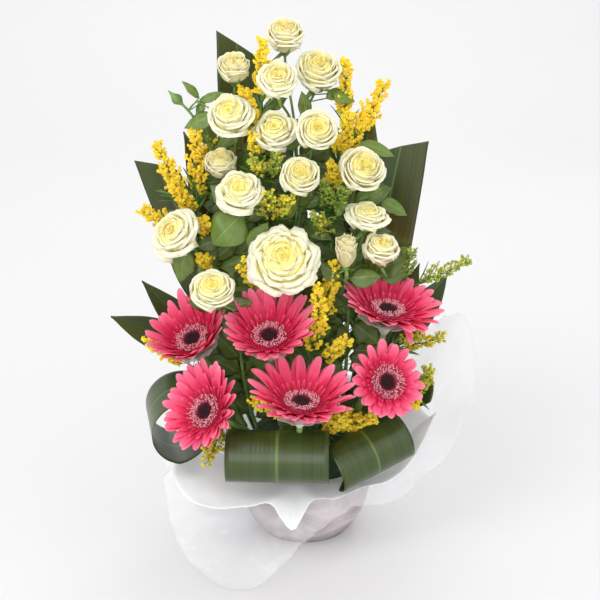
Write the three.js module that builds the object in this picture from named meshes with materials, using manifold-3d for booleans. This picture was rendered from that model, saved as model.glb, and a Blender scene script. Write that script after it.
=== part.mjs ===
// Flower arrangement in a round bowl: gerberas, spray roses and goldenrod,
// backed by broad pointed leaves, with a collar of looped leaves over white paper and clear film.
// Millimetres. X is to the right, Y away from the front, Z up. The origin is the middle of the bowl's base.

import * as THREE from 'three';
import { mergeVertices } from 'three/addons/utils/BufferGeometryUtils.js';
import Module from 'manifold-3d';

const wasm = await Module();
wasm.setup();

// ---------------------------------------------------------------- driving dimensions

const GAP = 0.3;                // left between pieces that touch
const RAY = 0.9;                // thickness of gerbera petals
const LEAF = 0.9;               // thickness of leaves
const SHEET = 0.7;              // thickness of paper and film

const BOWL_BASE_R = 45;
const BOWL_BELLY_R = 68.5;
const BOWL_BELLY_Z = 46;
const BOWL_RIM_R = 71.5;
const BOWL_RIM_Z = 75;
const BOWL_WALL = 4;

const FOAM_R = 60.5;
const FOAM_TOP = 112;
const SOCKET_Z = 84;            // depth that stems reach down to
const FAN_CENTRE = [0, 4, 10];  // stems spread as if they came from here

const ROSE_STEM_R = 2.0;
const ROSE_TWIG_R = 1.3;
const GERBERA_STEM_R = 2.9;
const STALK_R = 2.4;
const GOLDENROD_STEM_R = 1.5;
const GOLDENROD_TWIG_R = 0.9;

const HOLE_CLEARANCE = 0.45;    // round a stem that stands in the foam
const HOLE_REACH = 46;          // length of a hole, past the foam's top
const HOLE_FLOOR = 2.4;         // space under a stem's foot

const EYE_R = 18;               // a gerbera's eye of fringed florets
const ROOT_R = 19;              // where neighbouring gerbera petals part
const RISE_POWER = 0.5;         // how soon a gerbera's petals rise as steeply as its back ones
const NECK = 30;                // straight length of a gerbera's stem under its bloom
const CUP_WALL = 0.9;           // clear cup under a gerbera
const CLUSTER = 58;             // longest crowded part of a goldenrod branch

// ---------------------------------------------------------------- the flowers' places

// Each rose: the middle of the bloom, its width, the way it faces, and its depth as a share of its width.
const ROSES = [
  { name: 'rose_01', at: [-20, 28, 517], width: 42, facing: [0, -0.5, 0.87] },
  { name: 'rose_02', at: [-70, 8, 489], width: 37, facing: [0, -0.45, 0.9] },
  { name: 'rose_03', at: [-27, -6, 479], width: 40, facing: [0, -0.7, 0.7] },
  { name: 'rose_04', at: [12, 28, 481], width: 49, facing: [0.1, -0.6, 0.8] },
  { name: 'rose_05', at: [-73, -10, 444], width: 46, facing: [-0.1, -0.7, 0.7] },
  { name: 'rose_06', at: [-29, -8, 428], width: 43, facing: [-0.1, -0.7, 0.7] },
  { name: 'rose_07', at: [11, -32, 435], width: 43, facing: [0.1, -0.85, 0.5] },
  { name: 'rose_08', at: [-83, -8, 396], width: 36, facing: [-0.1, -0.4, 0.9] },
  { name: 'rose_09', at: [-63, -46, 376], width: 46, facing: [-0.1, -0.65, 0.75], depth: 0.68 },
  { name: 'rose_10', at: [-5, -42, 391], width: 42, facing: [0.05, -0.75, 0.65] },
  { name: 'rose_11', at: [56, -24, 394], width: 48, facing: [0.15, -0.8, 0.6] },
  { name: 'rose_12', at: [61, -26, 346], width: 44, facing: [0.15, -0.3, 0.95], depth: 0.52 },
  { name: 'rose_13', at: [40, -58, 321], width: 31, facing: [0, -0.15, 1], depth: 1.1 },
  { name: 'rose_14', at: [75, -40, 316], width: 37, facing: [0.1, -0.4, 0.9] },
  { name: 'rose_15', at: [-125, -44, 333], width: 50, facing: [-0.45, -0.65, 0.6], depth: 0.75 },
  { name: 'rose_16', at: [-22, -72, 317], width: 70, facing: [0, -0.8, 0.6], depth: 0.5, full: true },
  { name: 'rose_17', at: [-89, -90, 290], width: 47, facing: [-0.05, -0.6, 0.8], depth: 0.62 },
];

// Each gerbera: the middle of its eye, the radius of its petals and the way it faces, then for its front
// and its back petals their share of that radius and how steeply they rise, in radians.
const GERBERAS = [
  {
    name: 'gerbera_1', eye: [-111, -58, 229], radius: 45, facing: [-0.32, -0.46, 0.82], cup: true,
    lengths: [0.93, 1.0], rises: [0.9, 0.9],
  },
  {
    name: 'gerbera_2', eye: [-35, -84, 241], radius: 47, facing: [-0.04, -0.43, 0.9], cup: true,
    lengths: [0.91, 1.09], rises: [0.63, 0.77],
  },
  {
    name: 'gerbera_3', eye: [82, -52, 257], radius: 54, facing: [0.14, -0.19, 0.97], cup: true,
    lengths: [1.04, 0.9], rises: [0.3, 0.77],
  },
  {
    name: 'gerbera_4', eye: [-4, -126, 188], radius: 55, facing: [0.05, -0.2, 0.98], cup: true,
    lengths: [0.98, 1.0], rises: [0.46, 0.69],
  },
  {
    name: 'gerbera_5', eye: [-96, -104, 171], radius: 47, facing: [-0.56, -0.61, 0.56], cup: false,
    lengths: [0.93, 1.04], rises: [0.5, 0.7],
  },
  {
    name: 'gerbera_6', eye: [79, -100, 200], radius: 45, facing: [0.34, -0.77, 0.54], cup: false,
    lengths: [0.82, 0.94], rises: [0.1, 0.47],
  },
];

// Each rose spray: its socket in the foam, the point where it branches, its roses and its leaves.
// A leaf has its middle, the way its tip points, the way it faces, its length and its width.
const ROSE_SPRAYS = [
  {
    name: 'rose_spray_top', socket: [2, 22], fork: [-10, 30, 425],
    roses: ['rose_01', 'rose_03', 'rose_04'],
    leaves: [
      { at: [-31, 16, 452], tip: [0.85, 0, 0.5], face: [-0.3, -0.8, 0.5], size: [30, 15] },
      { at: [0, 8, 453], tip: [-0.2, 0, 1], face: [0.3, -0.9, 0.1], size: [28, 14] },
      { at: [39, 22, 459], tip: [0.8, 0, -0.3], face: [0.2, -0.8, 0.6], size: [24, 15] },
      { at: [30, 26, 462], tip: [0.6, 0.3, 0.3], face: [0, -0.9, 0.4], size: [22, 11] },
    ],
  },
  {
    name: 'rose_spray_left_top', socket: [-22, 18], fork: [-76, 16, 360],
    roses: ['rose_02', 'rose_05', 'rose_08'],
    bud: { at: [-124, 16, 454], facing: [-0.7, 0, 0.7], width: 18 },
    leaves: [
      { at: [-105, 6, 438], tip: [-0.9, 0, -0.4], face: [0, -0.8, 0.5], size: [34, 17] },
      { at: [-78, 16, 416], tip: [-0.6, 0, -0.6], face: [0.2, -0.8, 0.4], size: [32, 17] },
      { at: [-113, 18, 467], tip: [-0.7, 0, 0.7], face: [0.4, -0.8, 0.4], size: [24, 9] },
      { at: [-92, 14, 461], tip: [0.9, 0, 0.3], face: [-0.3, -0.8, 0.5], size: [26, 10] },
      { at: [-104, 16, 449], tip: [-0.2, 0, -1], face: [-0.4, -0.9, 0], size: [24, 9] },
    ],
  },
  {
    name: 'rose_spray_centre', socket: [-4, -8], fork: [-12, 4, 300],
    roses: ['rose_06', 'rose_07', 'rose_10', 'rose_16'],
    leaves: [
      { at: [65, 2, 363], tip: [0.9, 0, 0.4], face: [0, -0.9, 0.3], size: [36, 18] },
      { at: [-14, -18, 356], tip: [0.1, 0, 1], face: [0.3, -0.9, 0.2], size: [30, 15] },
      { at: [35, -18, 356], tip: [0.4, 0, 0.9], face: [-0.3, -0.9, 0.2], size: [24, 11] },
      { at: [13, -52, 262], tip: [0.1, 0, 1], face: [0.2, -0.95, 0.2], size: [40, 26] },
    ],
  },
  {
    name: 'rose_spray_left', socket: [-38, 0], fork: [-74, -8, 270],
    roses: ['rose_09', 'rose_15', 'rose_17'],
    leaves: [
      { at: [-77, -30, 336], tip: [-0.7, -0.2, -0.7], face: [0.1, -0.85, 0.5], size: [44, 40] },
      { at: [-46, -40, 330], tip: [0.5, 0, 0.85], face: [0, -0.9, 0.3], size: [36, 22] },
      { at: [-122, -30, 298], tip: [-0.2, 0, -1], face: [-0.2, -0.9, 0.3], size: [36, 24] },
      { at: [-74, -38, 236], tip: [-0.4, 0, 0.9], face: [0.2, -0.9, 0.2], size: [34, 20] },
    ],
  },
  {
    name: 'rose_spray_right', socket: [26, 4], fork: [46, 4, 270],
    roses: ['rose_11', 'rose_12', 'rose_13', 'rose_14'],
    leaves: [
      { at: [73, 6, 410], tip: [0.9, 0, -0.4], face: [0.2, -0.8, 0.5], size: [38, 14] },
      { at: [90, 12, 348], tip: [0.8, 0, -0.5], face: [0, -0.9, 0.4], size: [34, 15] },
      { at: [95, 2, 302], tip: [0.9, 0, 0.3], face: [0, -0.9, 0.3], size: [30, 14] },
    ],
  },
];

// Each goldenrod spray: its place in the foam, the top of its main stem and the tips of its branches.
const GOLDENROD = [
  {
    name: 'goldenrod_left', socket: [-40, 14], top: [-112, 14, 330],
    tips: [
      [-109, 6, 426], [-146, -8, 414], [-162, -14, 349], [-131, -10, 374], [-94, 26, 410],
      [-101, -24, 339], [-103, -40, 308], [-156, -45, 222],
      [-96, -104, 118, -76, -50, 150],
    ],
  },
  {
    name: 'goldenrod_middle', socket: [-16, 2], top: [-46, 4, 400],
    tips: [
      [-41, 10, 513], [-60, 4, 465], [-52, -20, 424], [-50, -40, 407],
      [-27, -34, 408], [-14, -46, 370], [-36, -52, 376], [-61, -56, 305],
    ],
  },
  {
    name: 'goldenrod_right', socket: [14, 10], top: [28, 14, 380],
    tips: [
      [79, 18, 471], [40, 34, 489], [66, 8, 446], [44, 6, 442],
      [27, -16, 394], [18, -34, 380], [39, -34, 376], [9, -42, 352],
    ],
  },
  {
    name: 'goldenrod_far_right', socket: [44, 8], top: [92, -4, 262],
    tips: [
      [163, -24, 300], [108, -20, 310], [80, 6, 279], [138, -40, 225], [124, -56, 196], [110, -76, 168],
    ],
  },
  {
    name: 'goldenrod_front', socket: [6, -30], top: [8, -52, 200],
    tips: [
      [12, -80, 290], [4, -64, 257], [30, -48, 303], [40, -74, 231], [-48, -94, 176],
      [67, -92, 158], [39, -98, 158],
    ],
  },
];

// Each pointed leaf: its place in the foam, the foot of its blade, its tip, its widest width
// and the sideways way it faces, as a turn about its own length. A slant gives it a broad slanted top:
// the share of its length that one edge is shorter by, above 0 where its right edge is the longer.
const POINTED_LEAVES = [
  { socket: [-12, 40], foot: [-54, 56, 250], tip: [-70, 62, 521], width: 50, turn: 0.1, slant: -0.11 },
  { socket: [-46, 26], foot: [-92, 46, 210], tip: [-155, 48, 395], width: 52, turn: -0.2, slant: -0.12 },
  { socket: [-53, 16], foot: [-94, 34, 176], tip: [-168, 14, 269], width: 34, turn: 0 },
  { socket: [-55, 3], foot: [-112, 15, 192], tip: [-199, -6, 237], width: 34, turn: 0.2 },
  { socket: [36, 34], foot: [62, 44, 190], tip: [100, 44, 414], width: 66, turn: 0.1, slant: 0.09 },
  { socket: [14, 44], foot: [26, 60, 240], tip: [71, 70, 436], width: 60, turn: -0.1 },
  { socket: [54, 2], foot: [80, 22, 182], tip: [118, 16, 287], width: 32, turn: -0.3 },
  { socket: [45, 27], foot: [98, 42, 188], tip: [147, 12, 277], width: 36, turn: 0.3 },
  { socket: [-30, 38], foot: [-66, 62, 250], tip: [-125, 62, 415], width: 44, turn: 0 },
];

// Each looped leaf of the collar: the two ends of the line it curls round, the loop's radius,
// the way from that line to the foam, and where its stalk stands.
const LOOPED_LEAVES = [
  { name: 'looped_leaf_front', ends: [[-78, -96, 121], [24, -100, 121]], radius: 27, stalk: [-26, -40, 100] },
  {
    name: 'looped_leaf_front_right',
    ends: [[27, -102, 108], [98, -68, 132]], radius: 25, stalk: [40, -34, 100],
  },
  { name: 'looped_leaf_left', ends: [[-118, -72, 134], [-130, -8, 144]], radius: 38, stalk: [-52, -18, 98] },
  { name: 'looped_leaf_right', ends: [[72, 6, 162], [122, -30, 160]], radius: 21, stalk: [54, -14, 98] },
];

// Corners of the two sheets, going round from the right.
const PAPER_EDGE = [
  [134, -44, 143], [124, 8, 126], [96, 70, 150], [20, 108, 124], [-70, 92, 140], [-120, 30, 112],
  [-134, -60, 78], [-96, -100, 66], [-60, -112, 70], [-34, -112, 76], [-12, -122, 50], [10, -106, 76],
  [50, -100, 82], [102, -76, 98],
];
const FILM_EDGE = [
  [166, 0, 108], [184, 30, 150], [164, 60, 220], [96, 112, 150], [0, 134, 84], [-90, 112, 108],
  [-146, 30, 70], [-140, -70, 44], [-104, -140, 12], [-54, -152, 6], [-20, -140, 24], [30, -104, 58],
  [76, -82, 62], [122, -58, 76],
];

// ---------------------------------------------------------------- colours

const COLOURS = {
  bowl: [0xb5a9ab, 0.75],
  foam: [0x3c5a35, 0.95],
  paper: [0xf2f3f6, 0.85],
  film: [0xe6eaee, 0.15],
  clearCup: [0xe2e4e4, 0.2],
  petalPink: [0xee5f85, 0.6],
  petalCream: [0xf8f0b8, 0.7],
  stem: [0x5d7f3c, 0.7],
  leaf: [0x2f4a2c, 0.5],
  roseLeaf: [0x48702f, 0.6],
  goldenrod: [0xe0b21c, 0.85],
};

// ---------------------------------------------------------------- helpers

const vec = (values) => new THREE.Vector3(...values);
const UP = vec([0, 0, 1]);

// The same draw of numbers each time, from a seed.
function seeded(seed) {
  let state = seed;
  return () => {
    state = (state * 1664525 + 1013904223) % 4294967296;
    return state / 4294967296;
  };
}

function toSolid(geometry) {
  const bare = geometry.index ? geometry.clone() : geometry;
  bare.deleteAttribute('normal');
  bare.deleteAttribute('uv');
  const merged = mergeVertices(bare, 1e-4);
  const mesh = new wasm.Mesh({
    numProp: 3,
    vertProperties: new Float32Array(merged.attributes.position.array),
    triVerts: new Uint32Array(merged.index.array),
  });
  return new wasm.Manifold(mesh);
}

function toGeometry(solid) {
  const mesh = solid.getMesh();
  const geometry = new THREE.BufferGeometry();
  geometry.setAttribute('position', new THREE.BufferAttribute(mesh.vertProperties, 3));
  geometry.setIndex(new THREE.BufferAttribute(mesh.triVerts, 1));
  geometry.computeVertexNormals();
  return geometry;
}

// All the pieces joined, as the one body that holds most of them: loose scraps and sealed hollows go.
function joined(solids) {
  const bodies = wasm.Manifold.union(solids).decompose();
  bodies.sort((a, b) => b.volume() - a.volume());
  return bodies[0];
}

// A place with its z axis along a direction and its y axis as nearly upwards as that allows.
function placeFacing(at, facing) {
  const z = facing.clone().normalize();
  const hint = Math.abs(z.z) > 0.98 ? vec([0, 1, 0]) : UP;
  const x = new THREE.Vector3().crossVectors(hint, z).normalize();
  const y = new THREE.Vector3().crossVectors(z, x);
  return new THREE.Matrix4().makeBasis(x, y, z).setPosition(at);
}

// A thin solid round a surface point(u, v), with u from -1 to 1 and v from 0 to 1,
// split into triangles alike on both faces.
function blade(columns, rows, thickness, point) {
  const grid = new THREE.PlaneGeometry(2, 1, columns, rows);
  const step = 1e-3;
  const front = [];
  const back = [];
  const flat = grid.attributes.position;
  for (let i = 0; i < flat.count; i += 1) {
    const u = flat.getX(i);
    const v = flat.getY(i) + 0.5;
    const middle = point(u, v);
    const thick = typeof thickness === 'function' ? thickness(v) : thickness;
    const along = point(u, Math.min(v + step, 1)).sub(point(u, Math.max(v - step, 0)));
    const across = point(Math.min(u + step, 1), v).sub(point(Math.max(u - step, -1), v));
    const normal = across.cross(along).normalize().multiplyScalar(thick / 2);
    front.push(...middle.clone().add(normal));
    back.push(...middle.clone().sub(normal));
  }
  const index = [...grid.index.array];
  const faces = index.length;
  for (let i = 0; i < faces; i += 3) {
    index.push(index[i] + flat.count, index[i + 2] + flat.count, index[i + 1] + flat.count);
  }
  for (const [a, b] of rimEdges(columns, rows)) {
    index.push(b, a, a + flat.count, b, a + flat.count, b + flat.count);
  }
  const geometry = new THREE.BufferGeometry();
  geometry.setAttribute('position', new THREE.Float32BufferAttribute([...front, ...back], 3));
  geometry.setIndex(index);
  return toSolid(geometry);
}

// The edges of a grid's rim, in the order that its front faces run.
function rimEdges(columns, rows) {
  const at = (column, row) => row * (columns + 1) + column;
  const edges = [];
  for (let c = 0; c < columns; c += 1) {
    edges.push([at(c + 1, 0), at(c, 0)]);
    edges.push([at(c, rows), at(c + 1, rows)]);
  }
  for (let r = 0; r < rows; r += 1) {
    edges.push([at(0, r), at(0, r + 1)]);
    edges.push([at(columns, r + 1), at(columns, r)]);
  }
  return edges;
}

// A round solid about z from [radius, height] pairs.
function turned(profile, segments) {
  const points = profile.map(([radius, height]) => new THREE.Vector2(radius, height));
  const geometry = new THREE.LatheGeometry(points, segments);
  geometry.rotateX(Math.PI / 2);
  return outward(toSolid(geometry), geometry);
}

// The solid itself, or its faces turned round if they point inwards.
function outward(solid, geometry) {
  if (solid.volume() > 0) return solid;
  const index = geometry.index.array;
  for (let i = 0; i < index.length; i += 3) {
    [index[i], index[i + 1]] = [index[i + 1], index[i]];
  }
  return toSolid(geometry);
}

function quad(index, a, b, c, d) {
  index.push(a, b, c, a, c, d);
}

// A closed thin wall from its outer then its inner points, ring by ring up each column.
function wall(positions, columns, rings) {
  const at = (side, c, r) => (side * columns + (c % columns)) * rings + r;
  const index = [];
  for (let c = 0; c < columns; c += 1) {
    for (let r = 0; r < rings - 1; r += 1) {
      quad(index, at(0, c, r), at(0, c, r + 1), at(0, c + 1, r + 1), at(0, c + 1, r));
      quad(index, at(1, c, r), at(1, c + 1, r), at(1, c + 1, r + 1), at(1, c, r + 1));
    }
    quad(index, at(0, c, 0), at(0, c + 1, 0), at(1, c + 1, 0), at(1, c, 0));
    quad(index, at(0, c + 1, rings - 1), at(0, c, rings - 1), at(1, c, rings - 1), at(1, c + 1, rings - 1));
  }
  const geometry = new THREE.BufferGeometry();
  geometry.setAttribute('position', new THREE.Float32BufferAttribute(positions, 3));
  geometry.setIndex(index);
  return outward(toSolid(geometry), geometry);
}

// A rod of even thickness along a curve.
function tube(curve, radius, sides, steps) {
  const corners = [];
  for (let i = 0; i < sides; i += 1) {
    const angle = (i / sides) * 2 * Math.PI;
    corners.push(new THREE.Vector2(radius * Math.cos(angle), radius * Math.sin(angle)));
  }
  const section = new THREE.Shape(corners);
  return toSolid(new THREE.ExtrudeGeometry(section, { steps, extrudePath: curve, bevelEnabled: false }));
}

// ---------------------------------------------------------------- the assembly

const arrangement = new THREE.Group();
const placed = [];

function addNode(name, solid, [colour, roughness]) {
  const material = new THREE.MeshStandardMaterial({ color: colour, roughness, metalness: 0 });
  const mesh = new THREE.Mesh(toGeometry(solid), material);
  mesh.name = name;
  arrangement.add(mesh);
  placed.push({ name, solid, box: solid.boundingBox() });
}

function boxesNear(a, b, reach) {
  return [0, 1, 2].every((k) => a.min[k] - reach < b.max[k] && b.min[k] - reach < a.max[k]);
}

function isClear(solid, mayTouch = '') {
  const box = solid.boundingBox();
  return placed.every((other) => other.name === mayTouch
    || !boxesNear(box, other.box, GAP)
    || solid.minGap(other.solid, 1) >= GAP * 0.98);
}

// ---------------------------------------------------------------- stems

const FAN = vec(FAN_CENTRE);

// A stem rises from its socket away from the fan's centre and comes in along its end's own direction.
function stemCurve(socket, end, arrival, bend) {
  const reach = socket.distanceTo(end);
  const leaving = socket.clone().sub(FAN).normalize();
  const first = socket.clone().addScaledVector(leaving, reach * 0.4).add(bend);
  const second = end.clone().addScaledVector(arrival, -reach * 0.28).add(bend);
  return new THREE.CubicBezierCurve3(socket, first, second, end);
}

// Sideways bends to try, from none to the widest, in eight directions.
const BENDS = [[0, 0]];
for (const reach of [5, 10, 16, 24, 34]) {
  for (let i = 0; i < 8; i += 1) {
    const angle = (i / 8) * 2 * Math.PI;
    BENDS.push([reach * Math.cos(angle), reach * Math.sin(angle)]);
  }
}

// The curve and solid of the first bend that keeps a stem clear of all that is already placed.
function bentClear(name, [from, to], makeCurve, makeSolid, mayTouch) {
  const chord = placeFacing(from, to.clone().sub(from));
  const x = new THREE.Vector3();
  const y = new THREE.Vector3();
  chord.extractBasis(x, y, new THREE.Vector3());
  for (const [a, b] of BENDS) {
    const bend = x.clone().multiplyScalar(a).addScaledVector(y, b);
    const curve = makeCurve(bend);
    const solid = makeSolid(curve);
    if (isClear(solid, mayTouch)) return { curve, solid };
  }
  throw new Error(`${name} finds no clear way`);
}

function nearestOn(curves, point) {
  let best = null;
  for (const curve of curves) {
    for (let i = 2; i <= 12; i += 1) {
      const spot = curve.getPoint(i / 12);
      if (spot.z < FOAM_TOP + 6) continue;
      const distance = spot.distanceTo(point) + Math.max(0, spot.z - point.z + 6) * 1.5;
      if (!best || distance < best.distance) best = { spot, distance };
    }
  }
  return best.spot;
}

const holes = [];

// A plain straight hole round the foot of a stem that stands in the foam.
function pierce(curve, radius, steps, depth = 0) {
  const start = curve.getPointAt(depth);
  const towards = curve.getPointAt(depth ? 1 - 1 / steps : 1 / steps).sub(start).normalize();
  const bottom = start.clone().addScaledVector(towards, -HOLE_FLOOR);
  const top = start.clone().addScaledVector(towards, HOLE_REACH);
  const sides = 5;
  const cornerR = (radius + HOLE_CLEARANCE) / Math.cos(Math.PI / sides);
  holes.push(tube(new THREE.LineCurve3(bottom, top), cornerR, sides, 1));
}

function socketPoint([x, y]) {
  return vec([x, y, SOCKET_Z]);
}

// ---------------------------------------------------------------- bowl

function bowl() {
  const profile = [
    [0, 0], [BOWL_BASE_R, 0], [55, 12], [64, 28], [BOWL_BELLY_R, BOWL_BELLY_Z], [BOWL_RIM_R, BOWL_RIM_Z],
    [BOWL_RIM_R - BOWL_WALL, BOWL_RIM_Z], [BOWL_BELLY_R - BOWL_WALL, BOWL_BELLY_Z], [58, 27],
    [BOWL_BASE_R - 2, BOWL_WALL], [0, BOWL_WALL],
  ];
  return turned(profile, 20);
}

// ---------------------------------------------------------------- paper and film

// A sheet that lines the bowl's wall, passes over the rim and spreads to its edge.
function sheet(edge, lineR, rimZ, columns, droop) {
  const outline = new THREE.CatmullRomCurve3(edge.map(vec), true, 'centripetal');
  const spots = outline.getPoints(240);
  const lineZ = 58;
  const rimOut = BOWL_RIM_R + 1.5;
  const rings = 5;
  const positions = [];
  for (const side of [0.5, -0.5]) {
    for (let c = 0; c < columns; c += 1) {
      const angle = (c / columns) * 2 * Math.PI;
      const corner = edgeAt(spots, angle);
      const out = Math.hypot(corner.x, corner.y);
      const fold = 2.4 * Math.sin(c * 2.4);
      const middleZ = rimZ + (corner.z - rimZ) * 0.5 ** droop + fold * 0.5;
      const profile = [
        [lineR - SHEET * side, lineZ],
        [lineR - SHEET * side, rimZ + SHEET * side],
        [rimOut, rimZ + SHEET * side],
        [(rimOut + out) / 2, middleZ + SHEET * side],
        [out, corner.z + fold + SHEET * side],
      ];
      for (const [r, z] of profile) positions.push(r * Math.cos(angle), r * Math.sin(angle), z);
    }
  }
  return wall(positions, columns, rings);
}

// The spot of an outline that lies most nearly in a direction from the middle.
function edgeAt(spots, angle) {
  const towards = vec([Math.cos(angle), Math.sin(angle), 0]);
  const lean = (spot) => (spot.x * towards.x + spot.y * towards.y) / Math.hypot(spot.x, spot.y);
  return spots.reduce((best, spot) => (lean(spot) > lean(best) ? spot : best));
}

// ---------------------------------------------------------------- gerbera

function gerberaBloom(flower, random) {
  const disc = turned([[0, -4], [11, -4], [EYE_R - 2, 3.4], [EYE_R - 8, 5.2], [0, 3.6]], 9);
  const outer = petalRow(flower, { share: 1, count: 15, level: -2.2, spin: 0, pointed: true }, random);
  const inner = petalRow(flower, { share: 0.7, count: 9, level: 0.4, spin: 0.5, pointed: false }, random);
  return joined([disc, outer, inner]).transform(placeFacing(vec(flower.eye), vec(flower.facing)).elements);
}

// A value that passes from the front petals' to the back petals' round the bloom. A power under 1
// makes the side petals more like the back ones.
function frontToBack([front, back], angle, power = 1) {
  return front + (back - front) * Math.max(0, 0.5 + 0.5 * Math.sin(angle)) ** power;
}

// A whole row of petals, cut side by side from one thin dished sheet. A pointed petal has a tip
// between its two shoulders, and a blunt one ends in its shoulders.
function petalRow(flower, row, random) {
  const reach = flower.radius * row.share;
  const corners = [];
  for (let i = 0; i < row.count; i += 1) {
    const middle = ((i + row.spin) / row.count) * 2 * Math.PI;
    const length = reach * frontToBack(flower.lengths, middle) * (0.95 + 0.08 * random());
    const half = Math.PI / row.count;
    const shoulder = row.pointed ? length * 0.84 : length * 0.95;
    const tip = row.pointed ? [[length, middle]] : [];
    corners.push([ROOT_R, middle - half], [shoulder, middle - half * 0.82], ...tip);
    corners.push([shoulder, middle + half * 0.82]);
  }
  const shape = new THREE.Shape(corners.map(([r, a]) => new THREE.Vector2(r * Math.cos(a), r * Math.sin(a))));
  const geometry = new THREE.ExtrudeGeometry(shape, { depth: RAY, bevelEnabled: false });
  const spots = geometry.attributes.position;
  for (let i = 0; i < spots.count; i += 1) {
    const radius = Math.hypot(spots.getX(i), spots.getY(i));
    const rise = frontToBack(flower.rises, Math.atan2(spots.getY(i), spots.getX(i)), RISE_POWER);
    const past = Math.max(0, radius - ROOT_R);
    spots.setZ(i, spots.getZ(i) + row.level + past * Math.tan(rise) * (1 - 0.2 * (past / reach)));
  }
  return toSolid(geometry);
}

// The green cup of bracts under a gerbera, and its stem down into the foam.
function gerberaStem(flower) {
  const facing = vec(flower.facing).normalize();
  const eye = vec(flower.eye);
  const foot = eye.clone().addScaledVector(facing, -NECK);
  const bracts = turned([
    [0, -4 - GAP], [9, -4 - GAP], [GERBERA_STEM_R, -16], [GERBERA_STEM_R, -NECK - 1], [0, -NECK - 1],
  ], 6).transform(placeFacing(eye, facing).elements);
  const socket = vec([flower.eye[0] * 0.4, flower.eye[1] * 0.3 - 4, SOCKET_Z]);
  const makeCurve = (bend) => stemCurve(socket, foot, facing, bend);
  const makeSolid = (curve) => tube(curve, GERBERA_STEM_R, 5, 4);
  const stem = bentClear(flower.name, [socket, foot], makeCurve, makeSolid, `${flower.name}_cup`);
  pierce(stem.curve, GERBERA_STEM_R, 4);
  return joined([bracts, stem.solid]);
}

// The clear crinkled cup that holds a gerbera's petals up.
function clearCup(flower) {
  const top = flower.radius * 0.56;
  const inner = [[GERBERA_STEM_R + 0.8, -25], [10, -11], [top, -3.6]];
  const outer = inner.map(([radius, height]) => [radius + GAP, height - CUP_WALL]);
  const profile = [...inner, ...outer.reverse(), inner[0]];
  return turned(profile, 8).transform(placeFacing(vec(flower.eye), vec(flower.facing)).elements);
}

// ---------------------------------------------------------------- spray rose

function roseBase(rose) {
  const depth = rose.width * (rose.depth ?? 0.8);
  return vec(rose.at).addScaledVector(vec(rose.facing).normalize(), -depth / 2);
}

// The petals stand in rings about a bud, each ring a wall that rises from a groove to a lip.
// Each ring has its share of the width, its share of the depth, and 1 for a lip or 0 elsewhere.
const OPEN_ROSE = [
  [0.13, 0, 0], [0.45, 0.34, 0], [0.49, 0.74, 1], [0.385, 0.42, 0], [0.39, 0.9, 1], [0.275, 0.52, 0],
  [0.27, 0.98, 1], [0.14, 0.62, 0], [0, 0.9, 0],
];
const FULL_ROSE = [
  [0.13, 0, 0], [0.42, 0.3, 0], [0.49, 0.5, 1], [0.42, 0.36, 0], [0.43, 0.72, 1], [0.35, 0.46, 0],
  [0.35, 0.88, 1], [0.26, 0.54, 0], [0.26, 0.98, 1], [0.17, 0.62, 0], [0.16, 1, 1],
  [0, 0.74, 0],
];

function roseBloom(rose, random) {
  const width = rose.width;
  const depth = width * (rose.depth ?? 0.8);
  const slim = rose.depth > 1 ? 0.8 : 1;
  const rings = [[0, 0, 0], ...(rose.full ? FULL_ROSE : OPEN_ROSE)];
  const columns = rose.full ? 15 : 12;
  const geometry = new THREE.LatheGeometry(rings.map(([r, z]) => new THREE.Vector2(r, z)), columns);
  const heights = Array.from({ length: columns * rings.length }, () => 0.95 + 0.08 * random());
  for (let c = 0; c <= columns; c += 1) {
    rings.forEach(([share, rise, lip], ring) => {
      const column = c % columns;
      const part = (column + Math.floor(ring / 2)) % 3;
      const angle = ((column + [-0.3, 0, 0.3][part]) / columns) * 2 * Math.PI;
      const step = lip * 0.055 * width * [-0.6, 0.3, 0.6][part];
      const radius = share === 0 ? 0 : share * width * slim + step;
      const dip = lip * depth * (part === 1 ? 0 : 0.13);
      const petal = Math.floor((column + Math.floor(ring / 2)) / 3) + ring * columns;
      const height = rise * depth * (lip ? heights[petal % heights.length] : 1) - dip + (ring < 2 ? GAP : 0);
      const spot = [radius * Math.cos(angle), radius * Math.sin(angle), height];
      geometry.attributes.position.setXYZ(c * rings.length + ring, ...spot);
    });
  }
  const place = placeFacing(roseBase(rose), vec(rose.facing));
  return outward(toSolid(geometry), geometry).transform(place.elements);
}

// The green cup that a rose sits on, its rim drawn out into hanging sepals.
function calyx(base, facing, width) {
  const sides = 6;
  const cup = new THREE.CylinderGeometry(0.13 * width, ROSE_TWIG_R, 0.19 * width, sides, 2);
  cup.rotateX(Math.PI / 2);
  cup.translate(0, 0, -0.095 * width);
  const spots = cup.attributes.position;
  for (let i = 0; i < spots.count; i += 1) {
    const [x, y, z] = [spots.getX(i), spots.getY(i), spots.getZ(i)];
    const corner = Math.round((Math.atan2(y, x) / (2 * Math.PI) + 0.25) * sides);
    const isMiddleRow = Math.abs(z + 0.095 * width) < 0.01 * width;
    const isSepal = isMiddleRow && corner % 2 === 0;
    const spread = isSepal ? 2.9 : 1;
    spots.setXYZ(i, x * spread, y * spread, isSepal ? z - 0.03 * width : z);
  }
  return toSolid(cup).transform(placeFacing(base, facing).elements);
}

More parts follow.
